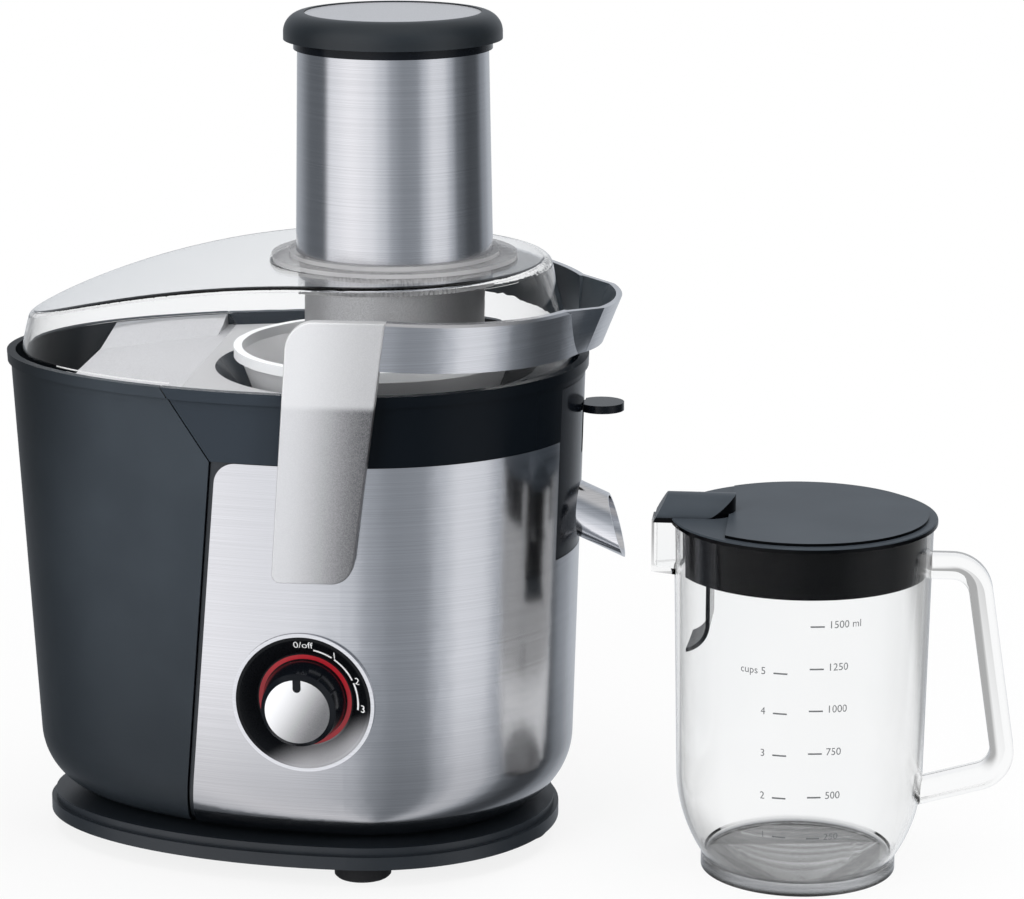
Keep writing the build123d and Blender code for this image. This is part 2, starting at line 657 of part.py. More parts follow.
def make_spout():
    column = BODY_OUTER & column_space(0)
    gate_half = GATE_WIDTH / 2 + SLIDE_GAP
    gate_x = (GATE_X - SLIDE_GAP, GATE_X + GATE_WALL + SLIDE_GAP)
    low_z = GATE_LOW_Z - GATE_TRAVEL - SLIDE_GAP
    column -= block(gate_x, (-gate_half, gate_half), (low_z, GATE_TOP_Z + SLIDE_GAP))
    stem_half = TAB_STEM_WIDTH / 2 + SLIDE_GAP
    stem_z = (TAB_Z - GATE_TRAVEL - SLIDE_GAP, GATE_TOP_Z + SLIDE_GAP)
    column -= block((GATE_X, FAR), (-stem_half, stem_half), stem_z)
    column -= bore_tool()
    socket = tube(SPOUT_RADIUS + RUN_GAP, 0, -SPOUT_SOCKET, SPOUT_REACH)
    column -= SPOUT_FRAME * socket
    length = SPOUT_SOCKET + 2 * SPOUT_REACH
    pipe = Cylinder(SPOUT_RADIUS, length) - Cylinder(SPOUT_RADIUS - SPOUT_WALL, length)
    spout = SPOUT_FRAME * Pos(0, 0, length / 2 - SPOUT_SOCKET) * pipe
    mouth = SPOUT_FRAME * Pos(0, 0, SPOUT_REACH)
    cut = Pos(*mouth.position) * Rot(0, -SPOUT_CUT_LEAN, 0) * Pos(FAR / 2, 0, 0) * Box(FAR, FAR, FAR)
    spout -= cut + block((-FAR, gate_x[1]), (-FAR, FAR), (0, FAR))
    gate = block((GATE_X, GATE_X + GATE_WALL), (-GATE_WIDTH / 2, GATE_WIDTH / 2), (GATE_LOW_Z, GATE_TOP_Z))
    face_x = WIDEST_X + body_reach(TAB_Z + TAB_WALL, 0)[0] + SLIDE_GAP
    stem = (-TAB_STEM_WIDTH / 2, TAB_STEM_WIDTH / 2)
    tab = block((GATE_X + GATE_WALL, face_x + TAB_RADIUS), stem, (TAB_Z, TAB_Z + TAB_WALL))
    disc = tube(TAB_RADIUS, 0, TAB_Z, TAB_Z + TAB_WALL, face_x + TAB_REACH - TAB_RADIUS, 0)
    tab += disc & block((face_x, FAR), (-FAR, FAR), (0, FAR))
    return {"spout_column": column, "juice_spout": spout, "drip_gate": gate, "drip_tab": tab}


def make_dial():
    frame = dial_frame()
    dish = [(SPINDLE_RADIUS + SKIN_GAP, -DIAL_DEPTH), (DIAL_LIP_RADIUS, -DIAL_DEPTH)]
    dish += [(DIAL_LIP_RADIUS, DIAL_PROUD - DIAL_FLANGE), (DIAL_LIP_RADIUS, DIAL_PROUD)]
    dish += [(DISH_RADIUS, DIAL_PROUD), (DISH_FLOOR_RADIUS, DIAL_PROUD - DISH_DEPTH)]
    dish += [(SPINDLE_RADIUS + SKIN_GAP, DIAL_PROUD - DISH_DEPTH)]
    bezel = turned(dish)
    glow_top = DIAL_PROUD - DISH_DEPTH
    groove = tube(GLOW_OUTER, GLOW_INNER, glow_top - DIAL_FLANGE, DIAL_PROUD)
    bezel -= groove
    glow = tube(GLOW_OUTER, GLOW_INNER, glow_top - DIAL_FLANGE, glow_top)
    ring = tube(DIAL_RADIUS, DIAL_LIP_RADIUS + SKIN_GAP, -DIAL_FLANGE, DIAL_PROUD)
    knob_low = DIAL_PROUD - DISH_DEPTH + SLIDE_GAP
    bevel = KNOB_TOP_RADIUS - KNOB_FACE_RADIUS
    side = [(KNOB_RADIUS, knob_low), (KNOB_RADIUS, knob_low + KNOB_FOOT)]
    side.append((KNOB_TOP_RADIUS, KNOB_PROUD - bevel))
    knob = turned([(0, knob_low)] + side + [(KNOB_FACE_RADIUS, KNOB_PROUD), (0, KNOB_PROUD)])
    knob -= tube(KNOB_FACE_RADIUS, 0, KNOB_PROUD - KNOB_FACE_WALL, KNOB_PROUD)
    knob += tube(SPINDLE_RADIUS, 0, -DIAL_DEPTH - SPINDLE_LENGTH, knob_low)
    face = tube(KNOB_FACE_RADIUS, 0, KNOB_PROUD - KNOB_FACE_WALL, KNOB_PROUD)
    slot_end = KNOB_FACE_RADIUS - KNOB_SLOT_LENGTH + KNOB_SLOT_WIDTH / 2
    level = (KNOB_PROUD - KNOB_FACE_WALL, KNOB_PROUD)
    mark = block((-KNOB_SLOT_WIDTH / 2, KNOB_SLOT_WIDTH / 2), (slot_end, KNOB_RADIUS), level)
    mark += tube(KNOB_SLOT_WIDTH / 2, 0, *level, 0, slot_end)
    mark &= face
    face -= mark
    half = SWITCH_SIZE / 2
    switch = block((-half, half), (-half, half), (-DIAL_DEPTH - SWITCH_DEPTH, -DIAL_DEPTH))
    switch -= tube(SPINDLE_RADIUS + RUN_GAP, 0, -DIAL_DEPTH - SPINDLE_LENGTH - SEAT_GAP, 0)
    pieces = {"dial_bezel": bezel, "dial_trim_ring": ring, "glow_ring": glow, "knob_barrel": knob}
    pieces.update({"knob_face": face, "knob_pointer": mark, "rotary_switch": switch})
    return {name: frame * piece for name, piece in pieces.items()}


def make_bin():
    shape = BODY_OUTER + body_loft(-RIM_PROUD, RIM_Z - RIM_BAND, RIM_Z)
    shape = Pos(0, 0, SEAT_GAP) * shape & bin_side(-SEAM_GAP, BODY_Z, RIM_Z)
    room = body(BIN_WALL, RIM_Z + LID_HEIGHT)
    wall_top = PANEL_Z - DECK_WALL
    inner = Pos(0, 0, SEAT_GAP) * room & bin_side(-SEAM_GAP - BIN_WALL, BODY_Z, wall_top)
    mouth = Pos(0, 0, SEAT_GAP) * room & block((-FAR, 0), (-FAR, FAR), (wall_top, FAR))
    return {"pulp_bin": shape - inner - mouth}


def lid_roof(drop):
    """Everything under the lid's roof: level round the tube, then falling in one arc to the bin."""
    top = LID_Z - drop
    end_x = -FAR / 2
    fall = LID_BEND_RADIUS - (LID_BEND_RADIUS ** 2 - (end_x - LID_BEND_X) ** 2) ** 0.5
    level = Line((LID_BEND_X, top), (FAR / 2, top))
    arc = RadiusArc((end_x, top - fall), (LID_BEND_X, top), LID_BEND_RADIUS)
    low = Polyline((FAR / 2, top), (FAR / 2, 0), (end_x, 0), (end_x, top - fall))
    return extrude(Plane.XZ * make_face(Curve() + [level, low, arc]), amount=FAR, both=True)


def lid_shape(inset, z_low):
    """Lid body, drafted inwards and rounded along its upper edge."""
    skirt = COLLAR_WALL + LID_SKIRT + inset
    high_z = LID_Z + LID_ROUND
    outlines = []
    for z in (z_low, high_z):
        reach = [r - skirt - (z - SEAT_Z) * LID_DRAFT for r in body_reach(SEAT_Z, 0)]
        outlines.append(egg(*reach, z))
    solid = loft(outlines, ruled=True) & lid_roof(inset)
    roof = [f for f in solid.faces() if f.normal_at().Z > 0.6]
    seams = [e for f in roof for e in f.edges()]
    outer = [e for e in seams if sum(e.is_same(other) for other in seams) == 1]
    return fillet(outer, LID_ROUND - inset)


def make_lid():
    shell = lid_shape(0, SEAT_Z + SEAT_GAP)
    shell += tube(SEAT_RADIUS, 0, RIM_Z, LID_Z, TUBE_X)
    shell -= lid_shape(LID_WALL, SEAT_Z)
    shell -= block((-FAR, seam_x(RIM_Z) + DECK_WALL), (-FAR, FAR), (0, RIM_Z + SEAT_GAP))
    liner_out = CHUTE_RADIUS + LINER_WALL
    shell -= tube(liner_out + SEAT_GAP, 0, SEAT_Z, FLANGE_Z, TUBE_X)
    liner = tube(liner_out, CHUTE_RADIUS, LID_Z - LINER_DROP, TUBE_Z, TUBE_X)
    flange_in = liner_out + SKIN_GAP
    half_z = (LID_Z + FLANGE_Z) / 2
    flange = tube(FLANGE_RADIUS, flange_in, LID_Z, half_z, TUBE_X)
    flange += tube(FLANGE_STEP_RADIUS, flange_in, half_z, FLANGE_Z, TUBE_X)
    foot_in = SLEEVE_FOOT_RADIUS - SLEEVE_WALL
    top_in = SLEEVE_TOP_RADIUS - SLEEVE_WALL
    outline = [(foot_in, FLANGE_Z), (SLEEVE_FOOT_RADIUS, FLANGE_Z)]
    outline += [(SLEEVE_TOP_RADIUS, TUBE_Z), (top_in, TUBE_Z)]
    sleeve = turned(outline, TUBE_X)
    collar = tube(TUBE_COLLAR_RADIUS, CHUTE_RADIUS, TUBE_Z, COLLAR_Z, TUBE_X)
    pieces = {"lid_shell": shell, "tube_liner": liner, "tube_flange": flange}
    pieces.update({"tube_sleeve": sleeve, "tube_collar": collar})
    return pieces


def make_pusher():
    radius = CHUTE_RADIUS - BARREL_GAP
    low_z = LID_Z - LINER_DROP + BARREL_RISE
    room = tube(radius - BARREL_WALL, 0, low_z + BARREL_WALL, CAP_Z, TUBE_X)
    barrel = tube(radius, 0, low_z, CAP_Z, TUBE_X) - room
    cap = tube(CAP_RADIUS, 0, CAP_Z, CAP_Z + CAP_HEIGHT, TUBE_X)
    cap = fillet(cap.edges().group_by(Axis.Z)[-1], CAP_ROUND)
    top_z = CAP_Z + CAP_HEIGHT
    cap -= tube(INSERT_RADIUS, 0, top_z - INSERT_DEPTH - INSERT_SINK, top_z, TUBE_X)
    insert_z = top_z - INSERT_SINK
    insert = tube(INSERT_RADIUS - SKIN_GAP, 0, insert_z - INSERT_DEPTH, insert_z, TUBE_X)
    return {"pusher_barrel": barrel, "pusher_cap": cap, "pusher_insert": insert}


# Turning set: levels along the motor axis
COUPLING_Z = WELL_Z - DECK_WALL + SEAL_HEIGHT + FREE_GAP
HEX_Z = COUPLING_Z + COUPLING_FOOT
HEX_TOP_Z = HEX_Z + COUPLING_GRIP
HUB_Z = HEX_TOP_Z + SEAT_GAP
SIEVE_Z = HUB_Z + HUB_PLATE
MOTOR_Z = TUB_FLOOR_Z + TUB_WALL + MOUNT_HEIGHT
STACK_Z = MOTOR_Z + BELL_HEIGHT
STACK_TOP_Z = STACK_Z + STACK_HEIGHT
MOTOR_TOP_Z = STACK_TOP_Z + BELL_HEIGHT
FAN_Z = MOTOR_TOP_Z + BEARING_HEIGHT


def make_filter():
    flats = COUPLING_FLATS / 2 / cos(pi / 6)
    socket_in = flats + SEAT_GAP / cos(pi / 6)
    hub = tube(SIEVE_LOW_RADIUS, 0, HUB_Z, SIEVE_Z)
    hub += tube(socket_in + SOCKET_WALL, 0, HEX_Z + SEAT_GAP, HUB_Z)
    socket = Pos(0, 0, HEX_Z + SEAT_GAP) * RegularPolygon(socket_in, 6)
    hub -= extrude(socket, amount=HUB_Z - HEX_Z - SEAT_GAP)
    skirt_in = CHIMNEY_RADIUS + 2 * FREE_GAP
    hub += tube(skirt_in + HUB_SKIRT_WALL, skirt_in, CUP_Z + CHIMNEY_HEIGHT / 2, HUB_Z)
    disc = tube(GRATER_RADIUS, 0, SIEVE_Z, SIEVE_Z + GRATER_WALL)
    tooth_r = GRATER_RADIUS - TOOTH_LENGTH / 2 - TOOTH_HEIGHT
    tooth_z = SIEVE_Z + GRATER_WALL + TOOTH_HEIGHT / 2
    for turn in spokes(TOOTH_ROWS):
        disc += turn * Pos(tooth_r, 0, tooth_z) * Box(TOOTH_LENGTH, TOOTH_WIDTH, TOOTH_HEIGHT)
    top_z = SIEVE_Z + SIEVE_HEIGHT
    outline = [(SIEVE_LOW_RADIUS - SIEVE_WALL, SIEVE_Z), (SIEVE_LOW_RADIUS, SIEVE_Z)]
    outline += [(SIEVE_TOP_RADIUS, top_z), (SIEVE_TOP_RADIUS - SIEVE_WALL, top_z)]
    rim_out = SIEVE_TOP_RADIUS + SIEVE_RIM_PROUD
    rim = tube(rim_out, SIEVE_TOP_RADIUS - SIEVE_WALL, top_z, top_z + SIEVE_RIM_HEIGHT)
    return {"filter_hub": hub, "grater_disc": disc, "filter_sieve": turned(outline), "filter_rim": rim}


def make_drive():
    low_z = MOTOR_Z + BELL_PLATE - BEARING_HEIGHT
    shaft = tube(SHAFT_RADIUS, 0, low_z, COUPLING_Z + COUPLING_FOOT / 2)
    seat = SHAFT_RADIUS + RUN_GAP
    coupling = tube(COUPLING_RADIUS, 0, COUPLING_Z, HEX_Z)
    hexagon = RegularPolygon(COUPLING_FLATS / 2 / cos(pi / 6), 6)
    coupling += extrude(Pos(0, 0, HEX_Z) * hexagon, amount=COUPLING_GRIP)
    coupling -= tube(seat, 0, COUPLING_Z, COUPLING_Z + COUPLING_FOOT / 2)
    rotor = tube(ROTOR_RADIUS, seat, STACK_Z, STACK_TOP_Z)
    rotor += tube(WINDING_RADIUS, seat, STACK_Z - WINDING_HEIGHT, STACK_TOP_Z + WINDING_HEIGHT)
    comm_z = STACK_TOP_Z + WINDING_HEIGHT
    comm = tube(COMMUTATOR_RADIUS, seat, comm_z, comm_z + COMMUTATOR_HEIGHT - FREE_GAP)
    fan_z = FAN_Z + FREE_GAP
    fan = tube(FAN_RADIUS, seat, fan_z, fan_z + FAN_DISC)
    fan += tube(FAN_HUB_RADIUS, seat, fan_z, fan_z + FAN_HEIGHT)
    blade = FAN_RADIUS - FAN_HUB_RADIUS
    vane_x = FAN_HUB_RADIUS + blade / 2 - FREE_GAP
    for turn in spokes(FAN_BLADES):
        vane = Box(blade, BLADE_WALL, FAN_HEIGHT - FAN_DISC)
        fan += turn * Pos(vane_x, 0, fan_z + (FAN_HEIGHT + FAN_DISC) / 2) * vane
    pieces = {"motor_shaft": shaft, "drive_coupling": coupling, "motor_rotor": rotor}
    pieces.update({"commutator": comm, "cooling_fan": fan})
    return pieces


def make_motor():
    rim_in = MOTOR_RADIUS - BELL_WALL
    hub_out = BEARING_RADIUS + BEARING_HUB_WALL
    stack = tube(MOTOR_RADIUS, ROTOR_RADIUS + AIR_GAP, STACK_Z, STACK_TOP_Z)
    plate_z = MOTOR_Z + BELL_PLATE
    low_bell = tube(MOTOR_RADIUS, BEARING_RADIUS, MOTOR_Z, plate_z)
    low_bell += tube(MOTOR_RADIUS, rim_in, plate_z, STACK_Z)
    low_bell += tube(hub_out, BEARING_RADIUS, plate_z - BEARING_HEIGHT, plate_z)
    top_plate_z = MOTOR_TOP_Z - BELL_PLATE
    top_bell = tube(MOTOR_RADIUS, BEARING_RADIUS, top_plate_z, MOTOR_TOP_Z)
    top_bell += tube(MOTOR_RADIUS, rim_in, STACK_TOP_Z, top_plate_z)
    top_bell += tube(hub_out, BEARING_RADIUS, top_plate_z, top_plate_z + BEARING_HEIGHT)
    bearing_in = SHAFT_RADIUS + RUN_GAP
    low_bearing = tube(BEARING_RADIUS, bearing_in, plate_z - BEARING_HEIGHT, plate_z)
    top_bearing = tube(BEARING_RADIUS, bearing_in, top_plate_z, top_plate_z + BEARING_HEIGHT)
    coils = [tube(COIL_OUTER, COIL_INNER, STACK_Z - COIL_HEIGHT, STACK_Z)]
    coils.append(tube(COIL_OUTER, COIL_INNER, STACK_TOP_Z, STACK_TOP_Z + COIL_HEIGHT))
    brush_low = STACK_TOP_Z + WINDING_HEIGHT + FREE_GAP
    reach = COMMUTATOR_RADIUS + SEAT_GAP
    brushes = []
    half = BRUSH_WIDTH / 2
    for turn in spokes(BRUSH_COUNT):
        brushes.append(turn * block((reach, reach + BRUSH_LENGTH), (-half, half), (brush_low, top_plate_z)))
    floor_z = TUB_FLOOR_Z + TUB_WALL
    pad = Pos(MOUNT_CIRCLE, 0, 0) * tube(MOUNT_RADIUS, 0, floor_z, MOTOR_Z)
    mounts = [turn * pad for turn in spokes(MOUNT_COUNT, MOUNT_TURN)]
    pieces = {"motor_stator": stack, "lower_bell": low_bell, "upper_bell": top_bell}
    pieces.update({"lower_bearing": low_bearing, "upper_bearing": top_bearing})
    pieces.update({"field_coils": group(coils), "carbon_brushes": group(brushes)})
    pieces["motor_mounts"] = group(mounts)
    return pieces


def arm_outline():
    """Front view of one bail arm: wider at the top, rounded at its corners."""
    foot_z = PANEL_Z - ARM_FOOT_DROP
    top_z = LID_Z - BAIL_DROP
    corners = [(ARM_FOOT_LEFT, foot_z), (ARM_FOOT_RIGHT, foot_z)]
    corners += [(ARM_TOP_RIGHT, top_z), (ARM_TOP_LEFT, top_z)]
    face = make_face(Polyline(*corners, close=True))
    heel, toe = face.vertices().group_by(Axis.Y)[0].sort_by(Axis.X)
    face = fillet(toe, ARM_FOOT_ROUND)
    heel = face.vertices().sort_by_distance(heel)[0]
    face = fillet(heel, ARM_HEEL_ROUND)
    upper = face.vertices().group_by(Axis.Y)[-1].sort_by(Axis.X)[0]
    return fillet(upper, ARM_TOP_ROUND)


def half_round(reach, half, z):
    """Half oval slab for the bail's bow, straight across its open end."""
    bow = EllipticalCenterArc((BAIL_CENTRE_X, 0, z), reach, half, start_angle=-90, arc_size=180)
    chord = Line((BAIL_CENTRE_X, half, z), (BAIL_CENTRE_X, -half, z))
    return extrude(Face(Wire([bow, chord])), amount=BAIL_HEIGHT, dir=(0, 0, 1))


def scoop(inset, low_z, top_z):
    """Finger scoop at the ring's end: flat cheeks, a bowed tip, wider at the top than at its foot."""
    low = (low_z, LIP_LOW_X, LIP_LOW_HALF, LIP_LOW_ROOT_HALF)
    high = (top_z, LIP_X, LIP_HALF, LIP_ROOT_HALF)
    outlines = []
    for z, tip, half, root_half in (low, high):
        end = ThreePointArc((tip, -half), (tip + LIP_BOW, 0), (tip, half))
        rest = Polyline((tip, half), (LIP_ROOT_X, root_half), (BAIL_CENTRE_X, root_half))
        rest += Polyline((BAIL_CENTRE_X, root_half), (BAIL_CENTRE_X, -root_half), (LIP_ROOT_X, -root_half))
        rest += Line((LIP_ROOT_X, -root_half), (tip, -half))
        face = make_face(Curve() + [end, rest])
        outlines.append(Pos(0, 0, z) * (offset(face, -inset) if inset else face))
    return loft(outlines, ruled=True)


def make_bail():
    top_z = LID_Z - BAIL_DROP
    low_z = top_z - BAIL_HEIGHT
    inner = BAIL_HALF - BAIL_WALL
    outline = Plane.XZ * arm_outline()
    pin_end = BAIL_HALF - PIVOT_SKIN
    arms = []
    for side in (-1, 1):
        arm = extrude(outline, amount=BAIL_HALF, dir=(0, side, 0))
        arm -= extrude(outline, amount=inner, dir=(0, side, 0))
        centre = Pos(PIVOT_X, side * pin_end / 2, PANEL_Z - PIVOT_DROP) * Rot(90, 0, 0)
        arm = fillet(arm.faces().sort_by(Axis((0, 0, 0), (0, side, 0)))[-1].edges(), ARM_EDGE)
        arms.append(arm - centre * Cylinder(PIVOT_RADIUS + RUN_GAP, pin_end))
    ring = half_round(BAIL_REACH, BAIL_HALF, low_z) + scoop(0, low_z, top_z)
    bow = [e for e in ring.edges().group_by(Axis.Z)[-1] if e.geom_type == GeomType.ELLIPSE]
    ring = chamfer(bow, RING_EDGE)
    ring -= half_round(BAIL_REACH - BAIL_BOW_WALL, inner, low_z)
    ring -= scoop(LIP_WALL, low_z, top_z) & block((0, FAR), (-FAR, FAR), (low_z + POCKET_RISE, top_z))
    hang = Pos(ARM_TOP_RIGHT, 0, top_z)
    ring = hang * Rot(0, BAIL_TILT, 0) * hang.inverse() * ring
    ring -= extrude(outline, amount=FAR, both=True)
    ring -= block((-FAR, ARM_FOOT_RIGHT), (-FAR, FAR), (0, FAR))
    ring -= block((-FAR, ARM_TOP_RIGHT), (-FAR, FAR), (top_z, FAR))
    pins = []
    for side in (-1, 1):
        frame = pivot_frame(side)
        stand = inner + side_y(PIVOT_X, PANEL_Z - PIVOT_DROP) - SLIDE_GAP
        pin = tube(PIVOT_RADIUS, 0, -PIVOT_ROOT, pin_end - inner + stand - SEAT_GAP)
        pins.append(frame * (pin + tube(PIVOT_SHOULDER, 0, SLIDE_GAP, stand)))
    pieces = {"bail_ring": ring, "bail_arm_front": arms[0], "bail_arm_rear": arms[1]}
    pieces.update({"bail_pivot_front": pins[0], "bail_pivot_rear": pins[1]})
    return pieces


def make_small():
    bx, by, bz = BOARD_SIZE
    floor_z = TUB_FLOOR_Z + TUB_WALL
    board = block((BOARD_X, BOARD_X + bx), (BOARD_Y, BOARD_Y + by), (floor_z, floor_z + bz))
    sx, sy, sz = INTERLOCK_SIZE
    lock = Pos(INTERLOCK_X, INTERLOCK_Y, TUB_TOP_Z - sz / 2) * Box(sx, sy, sz)
    gland = tube(GLAND_RADIUS, 0, -GLAND_LENGTH, GLAND_FLANGE_WALL)
    gland += tube(GLAND_FLANGE, 0, SLIDE_GAP, GLAND_FLANGE_WALL)
    gland -= tube(GLAND_BORE, 0, -GLAND_LENGTH, GLAND_FLANGE_WALL)
    return {"control_board": board, "interlock_switch": lock, "cord_gland": gland_frame() * gland}


def jug_solid(inset):
    """Turned jug, moved in by its wall, with the pouring beak towards the juicer."""
    floor_z = JUG_FLOOR if inset else 0
    foot = JUG_FOOT_RADIUS - inset
    low = (JUG_LOW_RADIUS - inset, JUG_SHOULDER)
    bow = TangentArc(low, (foot, JUG_FOOT_HEIGHT), tangent=(0, -1))
    foot_line = [(foot, JUG_FOOT_HEIGHT), (foot, floor_z), (0, floor_z)]
    rest = Polyline(*foot_line, (0, JUG_HEIGHT), (JUG_TOP_RADIUS - inset, JUG_HEIGHT), low)
    solid = revolve(Plane.XZ * make_face(Curve() + [bow, rest]), Axis.Z)
    root = -JUG_LOW_RADIUS / 2
    half = BEAK_HALF - inset
    tip_half = BEAK_TIP_HALF - inset
    tip = inset - BEAK_REACH
    plan = make_face(Polyline((root, half), (tip, tip_half), (tip, -tip_half), (root, -half), close=True))
    beak_z = JUG_HEIGHT - BEAK_HEIGHT + inset
    return solid + extrude(Pos(0, 0, beak_z) * plan, amount=JUG_HEIGHT - beak_z)


def make_handle(outer):
    """Bent grip bar: a rounded outline less the same outline moved in by the bar."""
    top = JUG_HEIGHT - HANDLE_TOP_DROP
    corners = [(0, HANDLE_LOW_Z), (HANDLE_REACH, HANDLE_LOW_Z + HANDLE_LOW_RISE)]
    corners += [(HANDLE_REACH - HANDLE_LEAN, top), (0, top)]
    grip = make_face(Polyline(*corners, close=True))
    gap = offset(grip, -HANDLE_THICK)
    grip = fillet(grip.vertices().sort_by(Axis.X)[-2:], HANDLE_ROUND)
    gap = fillet(gap.vertices().sort_by(Axis.X)[-2:], HANDLE_ROUND - HANDLE_THICK)
    bar = extrude(Plane.XZ * (grip - gap), amount=HANDLE_WIDTH / 2, both=True)
    sides = bar.faces().sort_by(Axis.Y)
    bar = fillet(sides[0].edges() + sides[-1].edges(), HANDLE_EDGE)
    return bar - outer - block((-FAR, 0), (-FAR, FAR), (-FAR, FAR))


def make_hood(lid_z):
    """Arched hood over the beak, round at its back and raked at its tip."""
    arch_radius = (COVER_HALF ** 2 + COVER_HEIGHT ** 2) / (2 * COVER_HEIGHT)
    ridge_z = lid_z + JUG_LID_HEIGHT + COVER_HEIGHT
    arch = Pos(0, 0, ridge_z - arch_radius) * Rot(0, 90, 0) * Cylinder(arch_radius, FAR)
    back_x = -COVER_BACK - COVER_HALF
    plan = block((-COVER_TIP, back_x), (-COVER_HALF, COVER_HALF), (lid_z, ridge_z))
    plan += tube(COVER_HALF, 0, lid_z, ridge_z, back_x)
    rake = [(-COVER_TIP, lid_z), (-COVER_TIP + COVER_RAKE, ridge_z), (0, ridge_z), (0, lid_z)]
    below = block((-FAR, 0), (-COVER_HALF, COVER_HALF), (lid_z, lid_z + JUG_LID_HEIGHT))
    return plan & (arch + below) & prism(rake)


def make_separator(lid_z):
    """Foam separator: a plate hanging from the lid, its foot curled towards the beak."""
    knee_z = lid_z - FIN_KNEE
    tip_z = lid_z - FIN_TIP
    face_x = FIN_X + FIN_WALL
    inner = TangentArc((FIN_X, knee_z), (FIN_TIP_X, tip_z + FIN_WALL), tangent=(0, -1))
    outer = TangentArc((face_x, knee_z), (FIN_TIP_X, tip_z), tangent=(0, -1))
    sides = Polyline((FIN_X, knee_z), (FIN_X, lid_z), (face_x, lid_z), (face_x, knee_z))
    end = Line((FIN_TIP_X, tip_z), (FIN_TIP_X, tip_z + FIN_WALL))
    outline = Plane.XZ * make_face(Curve() + [inner, outer, sides, end])
    return extrude(outline, amount=FIN_HALF, both=True)


def make_jug():
    outer = jug_solid(0)
    shell = outer - jug_solid(JUG_WALL)
    rest_z = JUG_HEIGHT + SEAT_GAP
    flange_z = rest_z + JUG_LID_HEIGHT
    plug = JUG_TOP_RADIUS - JUG_WALL - PLUG_GAP
    draft = (JUG_TOP_RADIUS - JUG_LOW_RADIUS) / (JUG_HEIGHT - JUG_SHOULDER)
    skirt_low = plug - PLUG_DEPTH * draft
    lid = tube(JUG_LID_RADIUS, 0, rest_z, flange_z)
    lid = fillet(lid.edges().group_by(Axis.Z)[-1], JUG_LID_EDGE)
    disc = tube(LID_DISC_RADIUS, 0, flange_z, flange_z + LID_DISC_HEIGHT)
    lid += disc & block((LID_CREASE_X, FAR), (-FAR, FAR), (0, FAR))
    skirt = [(skirt_low - JUG_LID_WALL, rest_z - PLUG_DEPTH), (skirt_low, rest_z - PLUG_DEPTH)]
    skirt += [(plug, rest_z), (skirt_low - JUG_LID_WALL, rest_z)]
    beak_room = block((-FAR, -JUG_LOW_RADIUS / 2), (-BEAK_HALF, BEAK_HALF), (0, rest_z))
    lid += turned(skirt) - beak_room
    hood = make_hood(rest_z)
    lid -= hood
    pieces = {"jug_shell": shell, "jug_handle": make_handle(outer), "jug_lid": lid, "jug_beak_cover": hood}
    pieces["foam_separator"] = make_separator(rest_z)
    return {name: Pos(JUG_X, JUG_Y, 0) * piece for name, piece in pieces.items()}


BUILDERS = (
    make_base, make_housing, make_deck, make_bowl, make_tray, make_spout, make_dial, make_bin, make_lid,
    make_pusher, make_filter, make_drive, make_motor, make_bail, make_small, make_jug,
)


def main():
    nodes = {}
    for build in BUILDERS:
        nodes.update(build())
    boxes = [solid.bounding_box() for solid in nodes.values()]
    middle_x = (min(box.min.X for box in boxes) + max(box.max.X for box in boxes)) / 2
    middle_y = (min(box.min.Y for box in boxes) + max(box.max.Y for box in boxes)) / 2
    middle = Pos(-middle_x, -middle_y, 0)
    print("motor axis lands at", middle.position)
    os.makedirs("parts", exist_ok=True)
    for name, solid in nodes.items():
        placed = middle * solid
        placed.label = name
        export_step(placed, f"parts/{name}.step")
    return nodes, middle


if __name__ == "__main__":
    main()
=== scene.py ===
import json
from math import atan, cos, pi, radians, sin

import bpy
from mathutils import Matrix, Vector


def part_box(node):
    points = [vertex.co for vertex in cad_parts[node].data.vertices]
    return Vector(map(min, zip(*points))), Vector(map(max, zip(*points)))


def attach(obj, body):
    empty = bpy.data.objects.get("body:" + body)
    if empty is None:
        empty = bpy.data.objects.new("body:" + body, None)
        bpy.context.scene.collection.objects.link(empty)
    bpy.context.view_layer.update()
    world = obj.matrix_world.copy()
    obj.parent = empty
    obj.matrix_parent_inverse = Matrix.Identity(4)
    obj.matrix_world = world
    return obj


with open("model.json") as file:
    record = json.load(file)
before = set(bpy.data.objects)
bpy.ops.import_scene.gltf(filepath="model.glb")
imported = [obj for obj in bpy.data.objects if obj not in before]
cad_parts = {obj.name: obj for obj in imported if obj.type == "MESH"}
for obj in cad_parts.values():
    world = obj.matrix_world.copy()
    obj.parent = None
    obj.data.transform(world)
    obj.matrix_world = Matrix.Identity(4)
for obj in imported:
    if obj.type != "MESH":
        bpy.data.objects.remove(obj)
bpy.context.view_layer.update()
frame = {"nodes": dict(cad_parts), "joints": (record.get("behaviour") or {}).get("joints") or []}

# The juicer and its jug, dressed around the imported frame. Metres, +Z up, +X from the bin to the jug.
MM = 0.001
NODES = frame["nodes"]


def joint(name):
    return next(j for j in frame["joints"] if j["name"] == name)


def middle(node):
    low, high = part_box(node)
    return (low + high) / 2


# Places read from the frame
MOTOR_AXIS = middle("motor_shaft")
TUBE_AXIS = middle("tube_sleeve")
DIAL_AT = Vector(joint("knob_turn")["pos_m"])
DIAL_OUT = -Vector(joint("knob_turn")["axis"])
DECK_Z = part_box("lid_shell")[0].z
ARM_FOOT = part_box("bail_arm_front")[0]
ARM_LEAN = 9.0 / 126.0
# height of a faint fold in the arm, which its finish shows only as painted light
FOLD_Z = 245.0 * MM
SLATE_ENDS = (-106.0 * MM, -62.0 * MM)  # where the bowl's collar turns from slate to black
DECK_ENDS = (-66.0 * MM, -46.0 * MM)    # where its deck turns from silver to black, under the front arm
JUG_TOP_RADIUS = 63.0 * MM
JUG_AT = Vector((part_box("jug_shell")[1].x - JUG_TOP_RADIUS, middle("jug_shell").y, 0))

